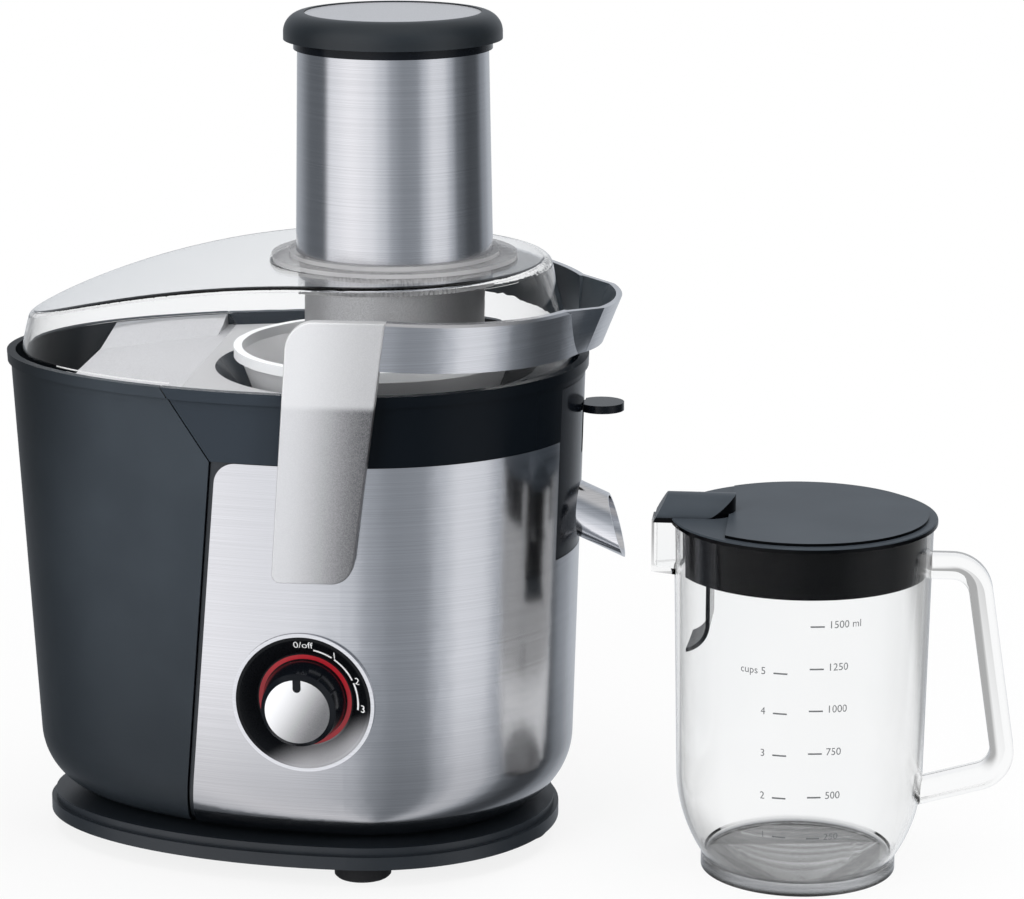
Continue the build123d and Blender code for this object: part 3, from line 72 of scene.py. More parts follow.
# Marks on the jug: volume or cups, and height above the table, all in millimetres
JUG_MARKS_TURN = 1.3    # degrees from straight ahead to the line that faces the user
JUG_VOLUMES = ((1500, 140.9), (1250, 119.9), (1000, 99.0), (750, 77.6), (500, 55.6), (250, 33.4))
JUG_CUPS = ((5, 116.5), (4, 96.5), (3, 75.5), (2, 54.0), (1, 33.0))
JUG_WORD_SIZE = 5.2
JUG_DASH_WIDTH = 6.8
JUG_DASH_HEIGHT = 0.7
JUG_DASH_RAISED = 0.3
JUG_VOLUME_WORDS = 13.0     # along the wall from that line
JUG_VOLUME_DASHES = 7.6
JUG_VOLUME_DASH_DROP = 0.7
JUG_CUPS_WORDS = -17.0
JUG_CUPS_DASHES = -9.8
JUG_CUPS_WORD_RISE = 0.6
JUG_PRINT_GAP = 0.05

# Print on the dial: words with radius and turn from the top, then arcs between them
DIAL_WORDS = (("0/off", 28.8, 1.0), ("1", 28.9, 33.0), ("2", 29.2, 66.0), ("3", 29.4, 94.0))
DIAL_WORD_SIZE = 5.2
DIAL_ARCS = ((10.7, 31.4), (34.4, 63.8), (67.0, 97.0))
DIAL_ARC_RADIUS = 26.3
DIAL_ARC_WIDTH = 1.1
DIAL_ARC_THICKNESS = 0.2
DIAL_ARC_STEPS = 24
DIAL_PRINT_FROM = 6.0       # height that the words are pressed down from
DIAL_PRINT_GAP = 0.08
DISH_EDGE = 31.5
DISH_EDGE_HEIGHT = 1.2
DISH_SLOPE = 5.0 / 8.0

# Ribs under the tube's flange, in millimetres
RIBS = 120
RIB_OUTER_RADIUS = 47.4
RIB_INNER_RADIUS = 46.4
RIB_HEIGHT = 8.0
RIB_WALL = 0.8
RIB_DROP = 3.0          # from the flange's underside

# Camera fitted to the photograph
VIEW_FROM = Vector((186.72, -1766.80, 628.64)) * MM
VIEW_TILT = 76.45       # degrees from straight down
VIEW_TURN = 6.0
FOCAL_PIXELS = 3682.72
FRAME_PIXELS = 1024.0
SENSOR = 36.0


# Shader maths

class Value:
    """A shader socket; arithmetic on it adds Math nodes."""

    def __init__(self, tree, socket):
        self.tree = tree
        self.socket = socket

    def math(self, operation, first, second):
        node = self.tree.nodes.new("ShaderNodeMath")
        node.operation = operation
        feed(self.tree, node.inputs[0], first)
        feed(self.tree, node.inputs[1], second)
        return Value(self.tree, node.outputs[0])

    def __add__(self, other):
        return self.math("ADD", self, other)

    def __radd__(self, other):
        return self.math("ADD", other, self)

    def __sub__(self, other):
        return self.math("SUBTRACT", self, other)

    def __rsub__(self, other):
        return self.math("SUBTRACT", other, self)

    def __mul__(self, other):
        return self.math("MULTIPLY", self, other)

    def __truediv__(self, other):
        return self.math("DIVIDE", self, other)

    def size(self):
        return self.math("ABSOLUTE", self, 0.0)

    def ramp(self, low, high):
        """0 below low, 1 above high, smooth between."""
        node = self.tree.nodes.new("ShaderNodeMapRange")
        node.interpolation_type = "SMOOTHSTEP"
        feed(self.tree, node.inputs["Value"], self)
        feed(self.tree, node.inputs["From Min"], low)
        feed(self.tree, node.inputs["From Max"], high)
        return Value(self.tree, node.outputs[0])


def feed(tree, socket, value):
    if isinstance(value, Value):
        tree.links.new(value.socket, socket)
    else:
        socket.default_value = value


class Tree:
    """A shader tree under construction."""

    def __init__(self, tree):
        self.tree = tree
        self.tree.nodes.clear()

    def add(self, kind, settings=None, inputs=None, out=0):
        """Any node: its settings first, then the values or links of its sockets."""
        node = self.tree.nodes.new(kind)
        for key, value in (settings or {}).items():
            setattr(node, key, value)
        for key, value in (inputs or {}).items():
            feed(self.tree, node.inputs[key], value)
        return Value(self.tree, node.outputs[out]) if node.outputs else None

    def split(self, vector):
        node = self.add("ShaderNodeSeparateXYZ", inputs={"Vector": vector}).socket.node
        return [Value(self.tree, socket) for socket in node.outputs]

    def ray(self, *kinds):
        """1 for the named kinds of ray."""
        node = self.add("ShaderNodeLightPath").socket.node
        total = Value(self.tree, node.outputs[kinds[0]])
        for kind in kinds[1:]:
            total = total + Value(self.tree, node.outputs[kind])
        return total

    def mix(self, share, first, second):
        """Colour mixed from two colours."""
        node = self.tree.nodes.new("ShaderNodeMix")
        node.data_type = "RGBA"
        feed(self.tree, node.inputs[0], share)
        feed(self.tree, node.inputs[6], first)
        feed(self.tree, node.inputs[7], second)
        return Value(self.tree, node.outputs[2])

    def blend(self, share, first, second):
        return self.add("ShaderNodeMixShader", inputs={0: share, 1: first, 2: second})


class Finish(Tree):
    """One material under construction."""

    def __init__(self, name):
        self.material = bpy.data.materials.new(name)
        self.material.use_nodes = True
        super().__init__(self.material.node_tree)

    def place(self):
        return self.add("ShaderNodeTexCoord", out="Object")

    def axes(self):
        return self.split(self.place())

    def facing(self):
        """Outward normal of the flat faces, as three values."""
        return self.split(self.add("ShaderNodeNewGeometry", out="True Normal"))

    def grain(self, scale, detail=3.0, stretch=(1.0, 1.0, 1.0)):
        """Noise around one half, stretched along the axes."""
        spot = self.add("ShaderNodeMapping", inputs={"Vector": self.place(), "Scale": stretch})
        return self.add("ShaderNodeTexNoise", inputs={"Vector": spot, "Scale": scale, "Detail": detail})

    def bump(self, height, strength):
        inputs = {"Height": height, "Strength": strength, "Distance": BUMP_DEPTH}
        return self.add("ShaderNodeBump", inputs=inputs)

    def surface(self, lets_light_in=False, **sockets):
        """Principled surface; socket names are given with underscores for spaces."""
        inputs = {key.replace("_", " "): value for key, value in sockets.items()}
        shader = self.add("ShaderNodeBsdfPrincipled", inputs=inputs)
        if lets_light_in:
            open_air = self.add("ShaderNodeBsdfTransparent", inputs={"Color": grey(0.97)})
            shader = self.blend(self.ray("Is Shadow Ray", "Is Diffuse Ray"), shader, open_air)
        self.add("ShaderNodeOutputMaterial", inputs={"Surface": shader})
        return self.material


def grey(level, blue=1.0):
    return (level, level, level * blue, 1.0)


# Scales of the noise in the finishes, and the band of its values that the tones spread over
BRUSHING = (9.0, 9.0, 3600.0)   # stretched into level lines
FLAKES = 2600.0
SKIN = 1400.0
CLOUDS = 24.0
NOISE_BAND = (0.3, 0.7)
BUMP_DEPTH = 0.1 * MM
PAINTED_SHADE_LEAST = 0.6               # share of its tone that steel under painted shade keeps at the foot


def make_brushed_steel(name, light=0.64, rough=0.16, painted_shade_heights=None):
    """Steel brushed level, in fine straight lines.

    A piece given heights gets painted shade, darker from the first height down to the second, in millimetres.
    """
    f = Finish(name)
    lines = f.grain(1.0, 2.0, BRUSHING)
    tone = f.mix(lines.ramp(*NOISE_BAND), grey(light * 0.93, 1.03), grey(light * 1.05, 1.03))
    # painted shade: the steel darkens towards the foot
    if painted_shade_heights:
        lit = f.axes()[2].ramp(painted_shade_heights[1] * MM, painted_shade_heights[0] * MM) * (1 - PAINTED_SHADE_LEAST) + PAINTED_SHADE_LEAST
        tone = f.mix(lit, grey(0.0), tone)
    return f.surface(
        Base_Color=tone, Metallic=1.0, Roughness=rough + (lines - 0.5) * 0.06, Normal=f.bump(lines, 0.015),
    )


def make_bail_steel(name):
    """Brushed steel outside, slate plastic inside the ring and the scoop."""
    f = Finish(name)
    x, y, _ = f.axes()
    nx, ny, _ = f.facing()
    inward = (0.0 - (x - MOTOR_AXIS.x) * nx - (y - MOTOR_AXIS.y) * ny).ramp(0.0, 10 * MM)
    lines = f.grain(1.0, 2.0, BRUSHING)
    steel = f.mix(lines.ramp(*NOISE_BAND), grey(0.62, 1.03), grey(0.70, 1.03))
    return f.surface(
        Base_Color=f.mix(inward, steel, (0.030, 0.038, 0.046, 1.0)), Metallic=1 - inward,
        Roughness=0.17 + inward * 0.15, Normal=f.bump(lines, 0.015),
    )


def make_silver_paint(name, low, high):
    """Satin silver with a fine metallic sparkle."""
    f = Finish(name)
    flakes = f.grain(FLAKES, 2.0)
    cloud = f.grain(30.0, 2.0)
    tone = f.mix(flakes.ramp(*NOISE_BAND), grey(low, 1.03), grey(high, 1.03))
    rough = 0.36 + (flakes - 0.5) * 0.12 + (cloud - 0.5) * 0.06
    return f.surface(Base_Color=tone, Metallic=0.75, Roughness=rough, Normal=f.bump(flakes, 0.08))


def make_liner(name):
    """Silver tube end with painted light, pale left of its middle, and painted shade, dark at the right and a
    little darker at its left edge.
    """
    f = Finish(name)
    x = f.axes()[0]
    flakes = f.grain(FLAKES, 2.0)
    low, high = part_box("tube_liner")
    # painted light and shade across the tube's width
    left = x.ramp(low.x, low.x + 22 * MM) * 0.45 + 0.55
    right = 1 - x.ramp(high.x - 40 * MM, high.x - 4 * MM) * 0.75
    tone = f.mix(left * right, grey(0.03), f.mix(flakes.ramp(*NOISE_BAND), grey(0.50, 1.02), grey(0.72, 1.02)))
    return f.surface(
        Base_Color=tone, Metallic=0.6, Roughness=0.36 + (flakes - 0.5) * 0.12, Normal=f.bump(flakes, 0.06),
    )


def make_arm_silver(name):
    """Silver arm whose tone falls away to the right as painted shade, with a faint fold above the bowl's rim
    shown as painted light.
    """
    f = Finish(name)
    x, _, z = f.axes()
    flakes = f.grain(FLAKES, 2.0)
    # painted shade across the arm to the right, and painted light above the fold
    lean = (x - (ARM_FOOT.x + (z - ARM_FOOT.z) * ARM_LEAN)).ramp(2 * MM, 44 * MM)
    above = z.ramp(FOLD_Z - 2 * MM, FOLD_Z + 2 * MM)
    shade = lean * (1 - above * 0.6)
    plain = f.mix(shade, f.mix(above, grey(0.60, 1.02), grey(0.70, 1.01)), grey(0.07, 1.08))
    tone = f.mix((flakes - 0.5) * 0.4 + 0.06, plain, grey(0.9))
    return f.surface(
        Base_Color=tone, Metallic=0.6, Roughness=0.42 + (flakes - 0.5) * 0.12, Normal=f.bump(flakes, 0.06),
    )


def make_moulded(name, colour, rough, texture=0.1, scale=SKIN, shine=0.5, vary=0.15):
    """Moulded plastic with its fine skin texture and slight tone changes."""
    f = Finish(name)
    skin = f.grain(scale, 3.0)
    cloud = f.grain(CLOUDS, 3.0)
    dark = tuple(c * (1 - vary) for c in colour[:3]) + (1.0,)
    pale = tuple(c * (1 + vary) for c in colour[:3]) + (1.0,)
    return f.surface(
        Base_Color=f.mix(cloud.ramp(*NOISE_BAND), dark, pale), Roughness=rough + (skin - 0.5) * 0.10,
        Normal=f.bump(skin, texture), Specular_IOR_Level=shine,
    )


def make_clear(name, tint, floor=None):
    """Clear moulded plastic; a floor colour is painted shade on the part nearest the table, with a darker painted
    shade along the edge under it.
    """
    f = Finish(name)
    flow = f.grain(12.0, 2.0)
    tone = f.mix(flow, tint, grey(0.985))
    if floor:
        z = f.axes()[2]
        # painted shade near the table, darkest along the edge that stands on it
        tone = f.mix(z.ramp(5 * MM, 9 * MM), f.mix(z.ramp(1 * MM, 3 * MM), grey(0.02), floor), tone)
    return f.surface(
        True, Base_Color=tone, Roughness=flow * 0.01, IOR=1.45, Transmission_Weight=1.0, Specular_Tint=grey(0.2),
    )


def make_smoke(name, colour, cover):
    """Thin clear piece, shown by a see-through tint."""
    f = Finish(name)
    flow = f.grain(40.0, 2.0)
    level = f.facing()[2].ramp(0.3, 0.8)
    return f.surface(
        Base_Color=f.mix(flow, colour, grey(0.6)), Roughness=0.12 + flow * 0.05,
        Alpha=cover + (1 - level) * 0.35 + (flow - 0.5) * 0.05,
    )


def make_bowl_black(name):
    """Gloss black outside, slate beside the bin, with the silver deck that shows through the lid."""
    f = Finish(name)
    x, _, z = f.axes()
    level = f.facing()[2].ramp(0.6, 0.8)
    deck = level * z.ramp(DECK_Z - 2 * MM, DECK_Z - MM) * (1 - z.ramp(DECK_Z + MM, DECK_Z + 2 * MM))
    deck = deck * (1 - x.ramp(*DECK_ENDS))
    flakes = f.grain(2200.0, 2.0)
    silver = f.mix(flakes, grey(0.40, 1.02), grey(0.62, 1.02))
    outside = f.mix(x.ramp(*SLATE_ENDS), (0.025, 0.032, 0.041, 1.0), (0.003, 0.0045, 0.0065, 1.0))
    return f.surface(
        Base_Color=f.mix(deck, outside, silver), Metallic=deck * 0.3,
        Roughness=0.2 + deck * 0.3, Normal=f.bump(flakes, 0.02), Specular_IOR_Level=0.07,
    )


def make_dish(name):
    """Black dial dish with a painted grey reflection across its lower right."""
    f = Finish(name)
    x, _, z = f.axes()
    # painted reflection, strongest on the lower right
    painted_sheen = ((x - DIAL_AT.x) * 0.42 - (z - DIAL_AT.z) * 0.91).ramp(15 * MM, 30 * MM)
    skin = f.grain(SKIN, 2.0)
    tone = f.mix(painted_sheen, (0.003, 0.0035, 0.0045, 1.0), grey(0.30, 1.05))
    return f.surface(Base_Color=tone, Roughness=0.25 + skin * 0.06, Specular_IOR_Level=0.15)


def make_knob_face(name):
    """Silver disc made to look domed by painted light, bright at the upper left, and painted shade towards the
    lower right.
    """
    f = Finish(name)
    x, _, z = f.axes()
    flakes = f.grain(FLAKES, 2.0)
    # painted light at the upper left, painted shade at the lower right
    painted_light_fall = ((x - DIAL_AT.x) * 0.85 - (z - DIAL_AT.z) * 0.5).ramp(-15 * MM, 13 * MM)
    tone = f.mix(painted_light_fall, grey(0.88, 1.01), grey(0.10, 1.06))
    return f.surface(
        Base_Color=f.mix((flakes - 0.5) * 0.2 + 0.05, tone, grey(0.9)), Metallic=0.5,
        Roughness=0.36 + (flakes - 0.5) * 0.1, Normal=f.bump(flakes, 0.05),
    )


def make_bin_slate(name):
    """Satin slate with painted shade that falls darker round the bin's end and towards its foot."""
    f = Finish(name)
    x, _, z = f.axes()
    skin = f.grain(SKIN, 3.0)
    cloud = f.grain(CLOUDS, 3.0)
    low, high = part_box("pulp_bin")
    # painted shade round the bin's end and towards its foot
    end = (x - z * 0.12).ramp(low.x - 28 * MM, low.x + 44 * MM)
    foot = z.ramp(low.z, high.z - 60 * MM)
    tone = f.mix(cloud.ramp(*NOISE_BAND), (0.026, 0.033, 0.041, 1.0), (0.031, 0.039, 0.048, 1.0))
    return f.surface(
        Base_Color=f.mix(end * (foot * 0.5 + 0.5), (0.003, 0.004, 0.005, 1.0), tone),
        Roughness=0.42 + (skin - 0.5) * 0.08, Normal=f.bump(skin, 0.06), Specular_IOR_Level=0.16,
    )


def make_jug_lid(name):
    """Satin on top, its colour raised a little as painted reflection; gloss black on the plug's side."""
    f = Finish(name)
    level = f.facing()[2].ramp(0.2, 0.5)
    skin = f.grain(1200.0, 3.0)
    cloud = f.grain(CLOUDS, 3.0)
    # the top's colour is partly its own satin and partly painted reflection
    top = f.mix(cloud.ramp(*NOISE_BAND), (0.030, 0.036, 0.043, 1.0), (0.036, 0.043, 0.051, 1.0))
    return f.surface(
        Base_Color=f.mix(level, (0.001, 0.0012, 0.0016, 1.0), top), Roughness=0.14 + level * 0.2,
        Normal=f.bump(skin, 0.06), Specular_IOR_Level=0.08,
    )


def make_sieve(name):
    """White moulded cone above, pierced steel below."""
    f = Finish(name)
    low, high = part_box("filter_sieve")
    white = f.axes()[2].ramp(low.z + (high.z - low.z) * 0.38, low.z + (high.z - low.z) * 0.42)
    spots = f.add("ShaderNodeTexVoronoi", inputs={"Vector": f.place(), "Scale": 420.0})
    steel = f.mix(spots.ramp(0.22, 0.34), grey(0.02), grey(0.6, 1.02))
    return f.surface(
        Base_Color=f.mix(white, steel, grey(0.86, 1.01)), Metallic=1 - white, Roughness=0.22 + white * 0.12,
    )


def make_lamp(name):
    """Red light guide, lit all round but at its lower left."""
    f = Finish(name)
    glow = f.grain(60.0, 2.0)
    x, _, z = f.axes()
    lit = ((x - DIAL_AT.x) * 0.75 + (z - DIAL_AT.z) * 0.65).ramp(-14 * MM, 2 * MM)
    tone = f.mix(glow, (0.20, 0.003, 0.008, 1.0), (0.27, 0.005, 0.011, 1.0))
    return f.surface(
        Base_Color=tone, Roughness=0.3, Emission_Color=f.mix(lit, grey(0.0), tone), Emission_Strength=0.35,
    )


STEEL = make_brushed_steel("brushed_steel")
# the front panel gets painted shade towards its foot
PANEL_STEEL = make_brushed_steel("brushed_panel_painted_shade", painted_shade_heights=(120.0, 20.0))
BAIL_STEEL = make_bail_steel("bail_steel_slate_inside")
SPOUT_STEEL = make_brushed_steel("polished_spout", 0.72, 0.1)
TRAY_SILVER = make_silver_paint("tray_silver_grain", 0.55, 0.75)
KNOB_FACE = make_knob_face("knob_face_silver_painted_light")
DISH = make_dish("dial_dish_black_painted_sheen")
SIEVE = make_sieve("sieve_white_and_pierced")
ARM_SILVER = make_arm_silver("arm_silver_sparkle_painted_shade")
CAP_SILVER = make_silver_paint("cap_silver_grain", 0.5, 0.62)
SLATE = make_moulded("slate_satin", (0.020, 0.025, 0.031), 0.38, 0.06, SKIN, 0.4)
BIN_SLATE = make_bin_slate("bin_slate_satin_painted_shade")
CHARCOAL = make_moulded("charcoal_satin", (0.012, 0.015, 0.019), 0.36, 0.08, SKIN, 0.4)
CAP_CHARCOAL = make_moulded("cap_charcoal", (0.008, 0.0105, 0.013), 0.38, 0.08, SKIN, 0.4)
LID_BLACK = make_jug_lid("jug_lid_black_painted_reflection")
GLOSS = make_moulded("gloss_black", (0.003, 0.004, 0.006), 0.14, 0.02, SKIN, 0.18)
BOWL = make_bowl_black("bowl_black_silver_deck")
WHITE = make_moulded("white_satin", (0.86, 0.87, 0.88), 0.35, 0.05, 900.0, 0.5, 0.02)
LINER = make_liner("liner_silver_painted_light")
RUBBER = make_moulded("rubber_black", (0.008, 0.008, 0.009), 0.7, 0.4, 700.0, 0.3)
CLEAR_LID = make_clear("clear_lid", (0.93, 0.94, 0.95, 1.0))
# the jug's floor colour is painted shade
CLEAR_JUG = make_clear("clear_jug_painted_shade_floor", (0.935, 0.945, 0.95, 1.0), (0.29, 0.30, 0.315, 1.0))
CLEAR_FLANGE = make_smoke("clear_flange", grey(0.42, 1.04), 0.30)
LAMP_RED = make_lamp("red_light_guide")
PRINT_WHITE = make_moulded("printed_white", (0.85, 0.86, 0.87), 0.5, 0.02, 900.0, 0.3, 0.03)
PRINT_GREY = make_moulded("printed_grey", (0.11, 0.115, 0.12), 0.5, 0.02, 900.0, 0.3, 0.05)
RIB_GREY = make_smoke("ribbed_ring_grey", grey(0.20, 1.05), 0.55)
MOTOR_IRON = make_moulded("lamination_grey", (0.16, 0.16, 0.17), 0.45)
COPPER = make_moulded("enamelled_copper", (0.45, 0.2, 0.08), 0.35)
BOARD = make_moulded("board_green", (0.03, 0.14, 0.06), 0.4)

COATS = {
    STEEL: ["tube_sleeve", "grater_disc"],
    PANEL_STEEL: ["front_panel"],
    BAIL_STEEL: ["bail_ring"],
    SPOUT_STEEL: ["juice_spout", "dial_trim_ring", "motor_shaft", "lower_bearing", "upper_bearing", "base_screws",
                  "bail_pivot_front", "bail_pivot_rear", "lower_bell", "upper_bell"],
    SIEVE: ["filter_sieve"],
    TRAY_SILVER: ["pulp_tray"],
    KNOB_FACE: ["knob_face"],
    DISH: ["dial_bezel"],
    ARM_SILVER: ["bail_arm_front", "bail_arm_rear"],
    BIN_SLATE: ["pulp_bin"],
    SLATE: ["rear_cover"],
    CHARCOAL: ["base_plate", "motor_housing", "motor_deck", "cord_gland", "pusher_barrel", "interlock_switch",
               "rotary_switch", "cooling_fan", "drive_coupling"],
    CAP_CHARCOAL: ["pusher_cap"],
    CAP_SILVER: ["pusher_insert"],
    LID_BLACK: ["jug_lid", "jug_beak_cover", "foam_separator"],
    GLOSS: ["spout_column", "tube_collar", "drip_tab", "drip_gate", "knob_barrel", "knob_pointer",
            "carbon_brushes"],
    BOWL: ["juice_bowl"],
    WHITE: ["filter_rim", "filter_hub"],
    LINER: ["tube_liner"],
    RUBBER: ["rubber_feet", "motor_mounts", "shaft_seal"],
    CLEAR_LID: ["lid_shell"],
    CLEAR_FLANGE: ["tube_flange"],
    CLEAR_JUG: ["jug_shell", "jug_handle"],
    LAMP_RED: ["glow_ring"],
    MOTOR_IRON: ["motor_stator", "motor_rotor"],
    COPPER: ["field_coils", "commutator"],
    BOARD: ["control_board"],
}
for finish, names in COATS.items():
    for name in names:
        NODES[name].data.materials.clear()
        NODES[name].data.materials.append(finish)


# Pieces added to the frame

def begin():
    bpy.ops.object.select_all(action="DESELECT")


def edit(piece, test=lambda vertex: True):
    """Enter edit mode with the vertices selected that pass the test."""
    bpy.ops.object.mode_set(mode="EDIT")
    bpy.ops.mesh.select_mode(type="VERT")
    bpy.ops.mesh.select_all(action="DESELECT")
    bpy.ops.object.mode_set(mode="OBJECT")
    for vertex in piece.data.vertices:
        vertex.select = test(vertex)
    bpy.ops.object.mode_set(mode="EDIT")


def finish_edit():
    bpy.ops.object.mode_set(mode="OBJECT")


def modify(piece, kind, **settings):
    """Add a modifier and apply it at once."""
    step = piece.modifiers.new(kind.lower(), kind)
    for key, value in settings.items():
        setattr(step, key, value)
    bpy.ops.object.modifier_apply(modifier=step.name)


def dress(piece, name, body, finish):
    piece.name = name
    piece.data.materials.clear()
    piece.data.materials.append(finish)
    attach(piece, body)


def make_words(words, height, align="CENTER"):
    """Flat lettering as a mesh, in the plane of x and y."""
    begin()
    bpy.ops.object.text_add(location=(0, 0, 0))
    piece = bpy.context.object
    piece.data.body = words
    piece.data.size = height
    piece.data.align_x = align
    piece.data.align_y = "CENTER"
    bpy.ops.object.convert(target="MESH")
    return bpy.context.object


def make_dash(width, height):
    """Small level bar, cut up so that it can follow a curve."""
    begin()
    bpy.ops.mesh.primitive_plane_add(size=1.0, location=(0, 0, 0))
    piece = bpy.context.object
    edit(piece)
    bpy.ops.transform.resize(value=(width, height, 1.0))
    bpy.ops.mesh.subdivide(number_cuts=5)
    finish_edit()
    return piece


def jug_spot(across, z):
    """Place on the jug's outside, an arc length from the line that faces the user."""
    angle = across / JUG_TOP_RADIUS + radians(JUG_MARKS_TURN)
    out = Vector((sin(angle), -cos(angle), 0))
    at = JUG_AT + out * JUG_TOP_RADIUS + Vector((0, 0, z))
    return Matrix.Translation(at) @ Matrix.Rotation(angle, 4, "Z") @ Matrix.Rotation(pi / 2, 4, "X")


def lay_on_jug(piece, name, across, z, raised=0.0):
    """Press a flat piece onto the jug's wall, at millimetres along the wall and above the table."""
    piece.data.transform(jug_spot(across * MM, z * MM))
    modify(piece, "SHRINKWRAP", target=NODES["jug_shell"], offset=JUG_PRINT_GAP * MM, wrap_mode="ABOVE_SURFACE")
    if raised:
        modify(piece, "SOLIDIFY", thickness=raised * MM, offset=1.0)
    dress(piece, name, "jug", PRINT_GREY)


def lay_words(words, align, name, across, z):
    lay_on_jug(make_words(words, JUG_WORD_SIZE * MM, align), name, across, z)


def lay_dash(name, across, z):
    lay_on_jug(make_dash(JUG_DASH_WIDTH * MM, JUG_DASH_HEIGHT * MM), name, across, z, JUG_DASH_RAISED)


def build_jug_marks():
    for volume, z in JUG_VOLUMES:
        words = f"{volume} ml" if volume == JUG_VOLUMES[0][0] else str(volume)
        lay_words(words, "LEFT", f"jug_volume_{volume}", JUG_VOLUME_WORDS, z)
        lay_dash(f"jug_volume_dash_{volume}", JUG_VOLUME_DASHES, z - JUG_VOLUME_DASH_DROP)
    for cups, z in JUG_CUPS:
        words = f"cups {cups}" if cups == JUG_CUPS[0][0] else str(cups)
        lay_words(words, "RIGHT", f"jug_cups_{cups}", JUG_CUPS_WORDS, z + JUG_CUPS_WORD_RISE)
        lay_dash(f"jug_cups_dash_{cups}", JUG_CUPS_DASHES, z)


def dial_matrix():
    right = Vector((0, 0, 1)).cross(DIAL_OUT).normalized()
    up = DIAL_OUT.cross(right)
    turn = Matrix((right, up, DIAL_OUT)).transposed().to_4x4()
    return Matrix.Translation(DIAL_AT) @ turn


def dish_height(radius):
    """Height of the dial's sloping dish at a radius, from the panel."""
    return (DISH_EDGE_HEIGHT - (DISH_EDGE - radius) * DISH_SLOPE) * MM


def make_arc(first, last):
    """Part of a flat ring on the dial's slope, swept clockwise from the first turn to the last."""
    begin()
    bpy.ops.mesh.primitive_plane_add(size=1.0, location=(0, 0, 0))
    piece = bpy.context.object
    width, thickness = DIAL_ARC_WIDTH * MM, DIAL_ARC_THICKNESS * MM
    upright = Matrix(((0, 0, 1, 0), (width, 0, 0, 0), (0, thickness, 0, 0), (0, 0, 0, 1)))
    at = Matrix.Translation((0, DIAL_ARC_RADIUS * MM, dish_height(DIAL_ARC_RADIUS)))
    tilt = Matrix.Rotation(atan(DISH_SLOPE), 4, "X")
    piece.data.transform(Matrix.Rotation(-radians(first), 4, "Z") @ at @ tilt @ upright)
    edit(piece)
    bpy.ops.mesh.spin(steps=DIAL_ARC_STEPS, angle=radians(last - first), center=(0, 0, 0), axis=(0, 0, 1))
    bpy.ops.mesh.select_all(action="SELECT")
    bpy.ops.mesh.normals_make_consistent(inside=False)
    finish_edit()
    return piece


def build_dial_print():
    frame_at = dial_matrix()
    for words, radius, angle in DIAL_WORDS:
        piece = make_words(words, DIAL_WORD_SIZE * MM)
        at = Vector((sin(radians(angle)), cos(radians(angle)), 0)) * radius * MM
        piece.data.transform(frame_at @ Matrix.Translation(at + Vector((0, 0, DIAL_PRINT_FROM * MM))))
        modify(piece, "SHRINKWRAP", target=NODES["dial_bezel"], wrap_method="PROJECT", use_project_x=False,
               use_project_y=True, use_project_z=False, use_positive_direction=True, use_negative_direction=False,
               offset=DIAL_PRINT_GAP * MM)
        dress(piece, "dial_word_" + words.replace("/", "_"), "base", PRINT_WHITE)
    for number, (first, last) in enumerate(DIAL_ARCS):
        piece = make_arc(first, last)
        piece.data.transform(frame_at)
        dress(piece, f"dial_arc_{number + 1}", "base", PRINT_WHITE)


def build_ribbed_ring():
    """Ring of fine upright ribs under the tube's flange, seen through the lid."""
    at = (TUBE_AXIS.x, TUBE_AXIS.y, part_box("tube_flange")[0].z - RIB_DROP * MM)
    begin()
    bpy.ops.mesh.primitive_circle_add(vertices=2 * RIBS, radius=RIB_OUTER_RADIUS * MM, location=at)
    piece = bpy.context.object
    bpy.ops.object.transform_apply(location=True)
    edit(piece, lambda vertex: vertex.index % 2 == 1)
    inward = RIB_INNER_RADIUS / RIB_OUTER_RADIUS
    bpy.ops.transform.resize(value=(inward, inward, 1.0), center_override=at)
    bpy.ops.mesh.select_all(action="SELECT")
    bpy.ops.mesh.extrude_region_move(TRANSFORM_OT_translate={"value": (0, 0, -RIB_HEIGHT * MM)})
    bpy.ops.mesh.select_all(action="SELECT")
    bpy.ops.mesh.normals_make_consistent(inside=False)
    finish_edit()
    modify(piece, "SOLIDIFY", thickness=RIB_WALL * MM, offset=-1.0)
    dress(piece, "tube_ribbed_ring", "lid", RIB_GREY)


build_jug_marks()
build_dial_print()
build_ribbed_ring()


# Stage

# Studio tones by the turn from the camera's side, in degrees, as a row of white and black cards
CARDS = (
    (-180, 0.60), (-150, 0.45), (-112, 0.17), (-90, 0.16), (-80, 1.05), (-50, 1.25), (-28, 1.10), (-12, 0.80),
    (0, 0.46), (12, 0.34), (28, 0.36), (38, 0.70), (48, 1.00), (62, 0.95), (72, 0.58), (82, 0.20), (100, 0.09),
    (116, 0.10), (132, 0.36), (152, 0.58), (180, 0.60),
)
CARD_PEAK = 1.25
SKY_TONE = 0.62
SIDE_TONE = 0.42        # what clear pieces show away from straight behind them
ROOM_TONE = 0.34        # what matt pieces get from the room
FLOOR_SIZE = 60.0
FLOOR_TONES = (0.60, 0.62)
FLOOR_GLOW = 0.84       # least share of plain white in what the camera sees of the floor
GLOW_REACH = (0.06, 0.5)    # square of the distance over which that share grows to the whole

# Patch of floor behind the jug that clear pieces show white, in metres
PATCH_MIDDLE = 0.19
PATCH_HALF_WIDTH = 0.09
PATCH_LEAN = 0.395      # shift and growth for each metre away from the camera
PATCH_GROWTH = 0.33
PATCH_EDGE = 0.03

# Softboxes: place, width, height and power; all aim at the same spot
SOFTBOX_AIM = Vector((-0.05, 0, 0.2))
SOFTBOXES = {
    "left_front_box": ((-0.9, -1.7, 1.0), 0.9, 1.6, 29.0),
    "right_front_box": ((1.35, -1.25, 0.8), 0.5, 1.6, 16.0),
    "back_box": ((0.8, 1.4, 0.9), 1.2, 1.2, 16.0),
    "top_box": ((0, -0.2, 2.0), 1.8, 1.4, 39.0),
}


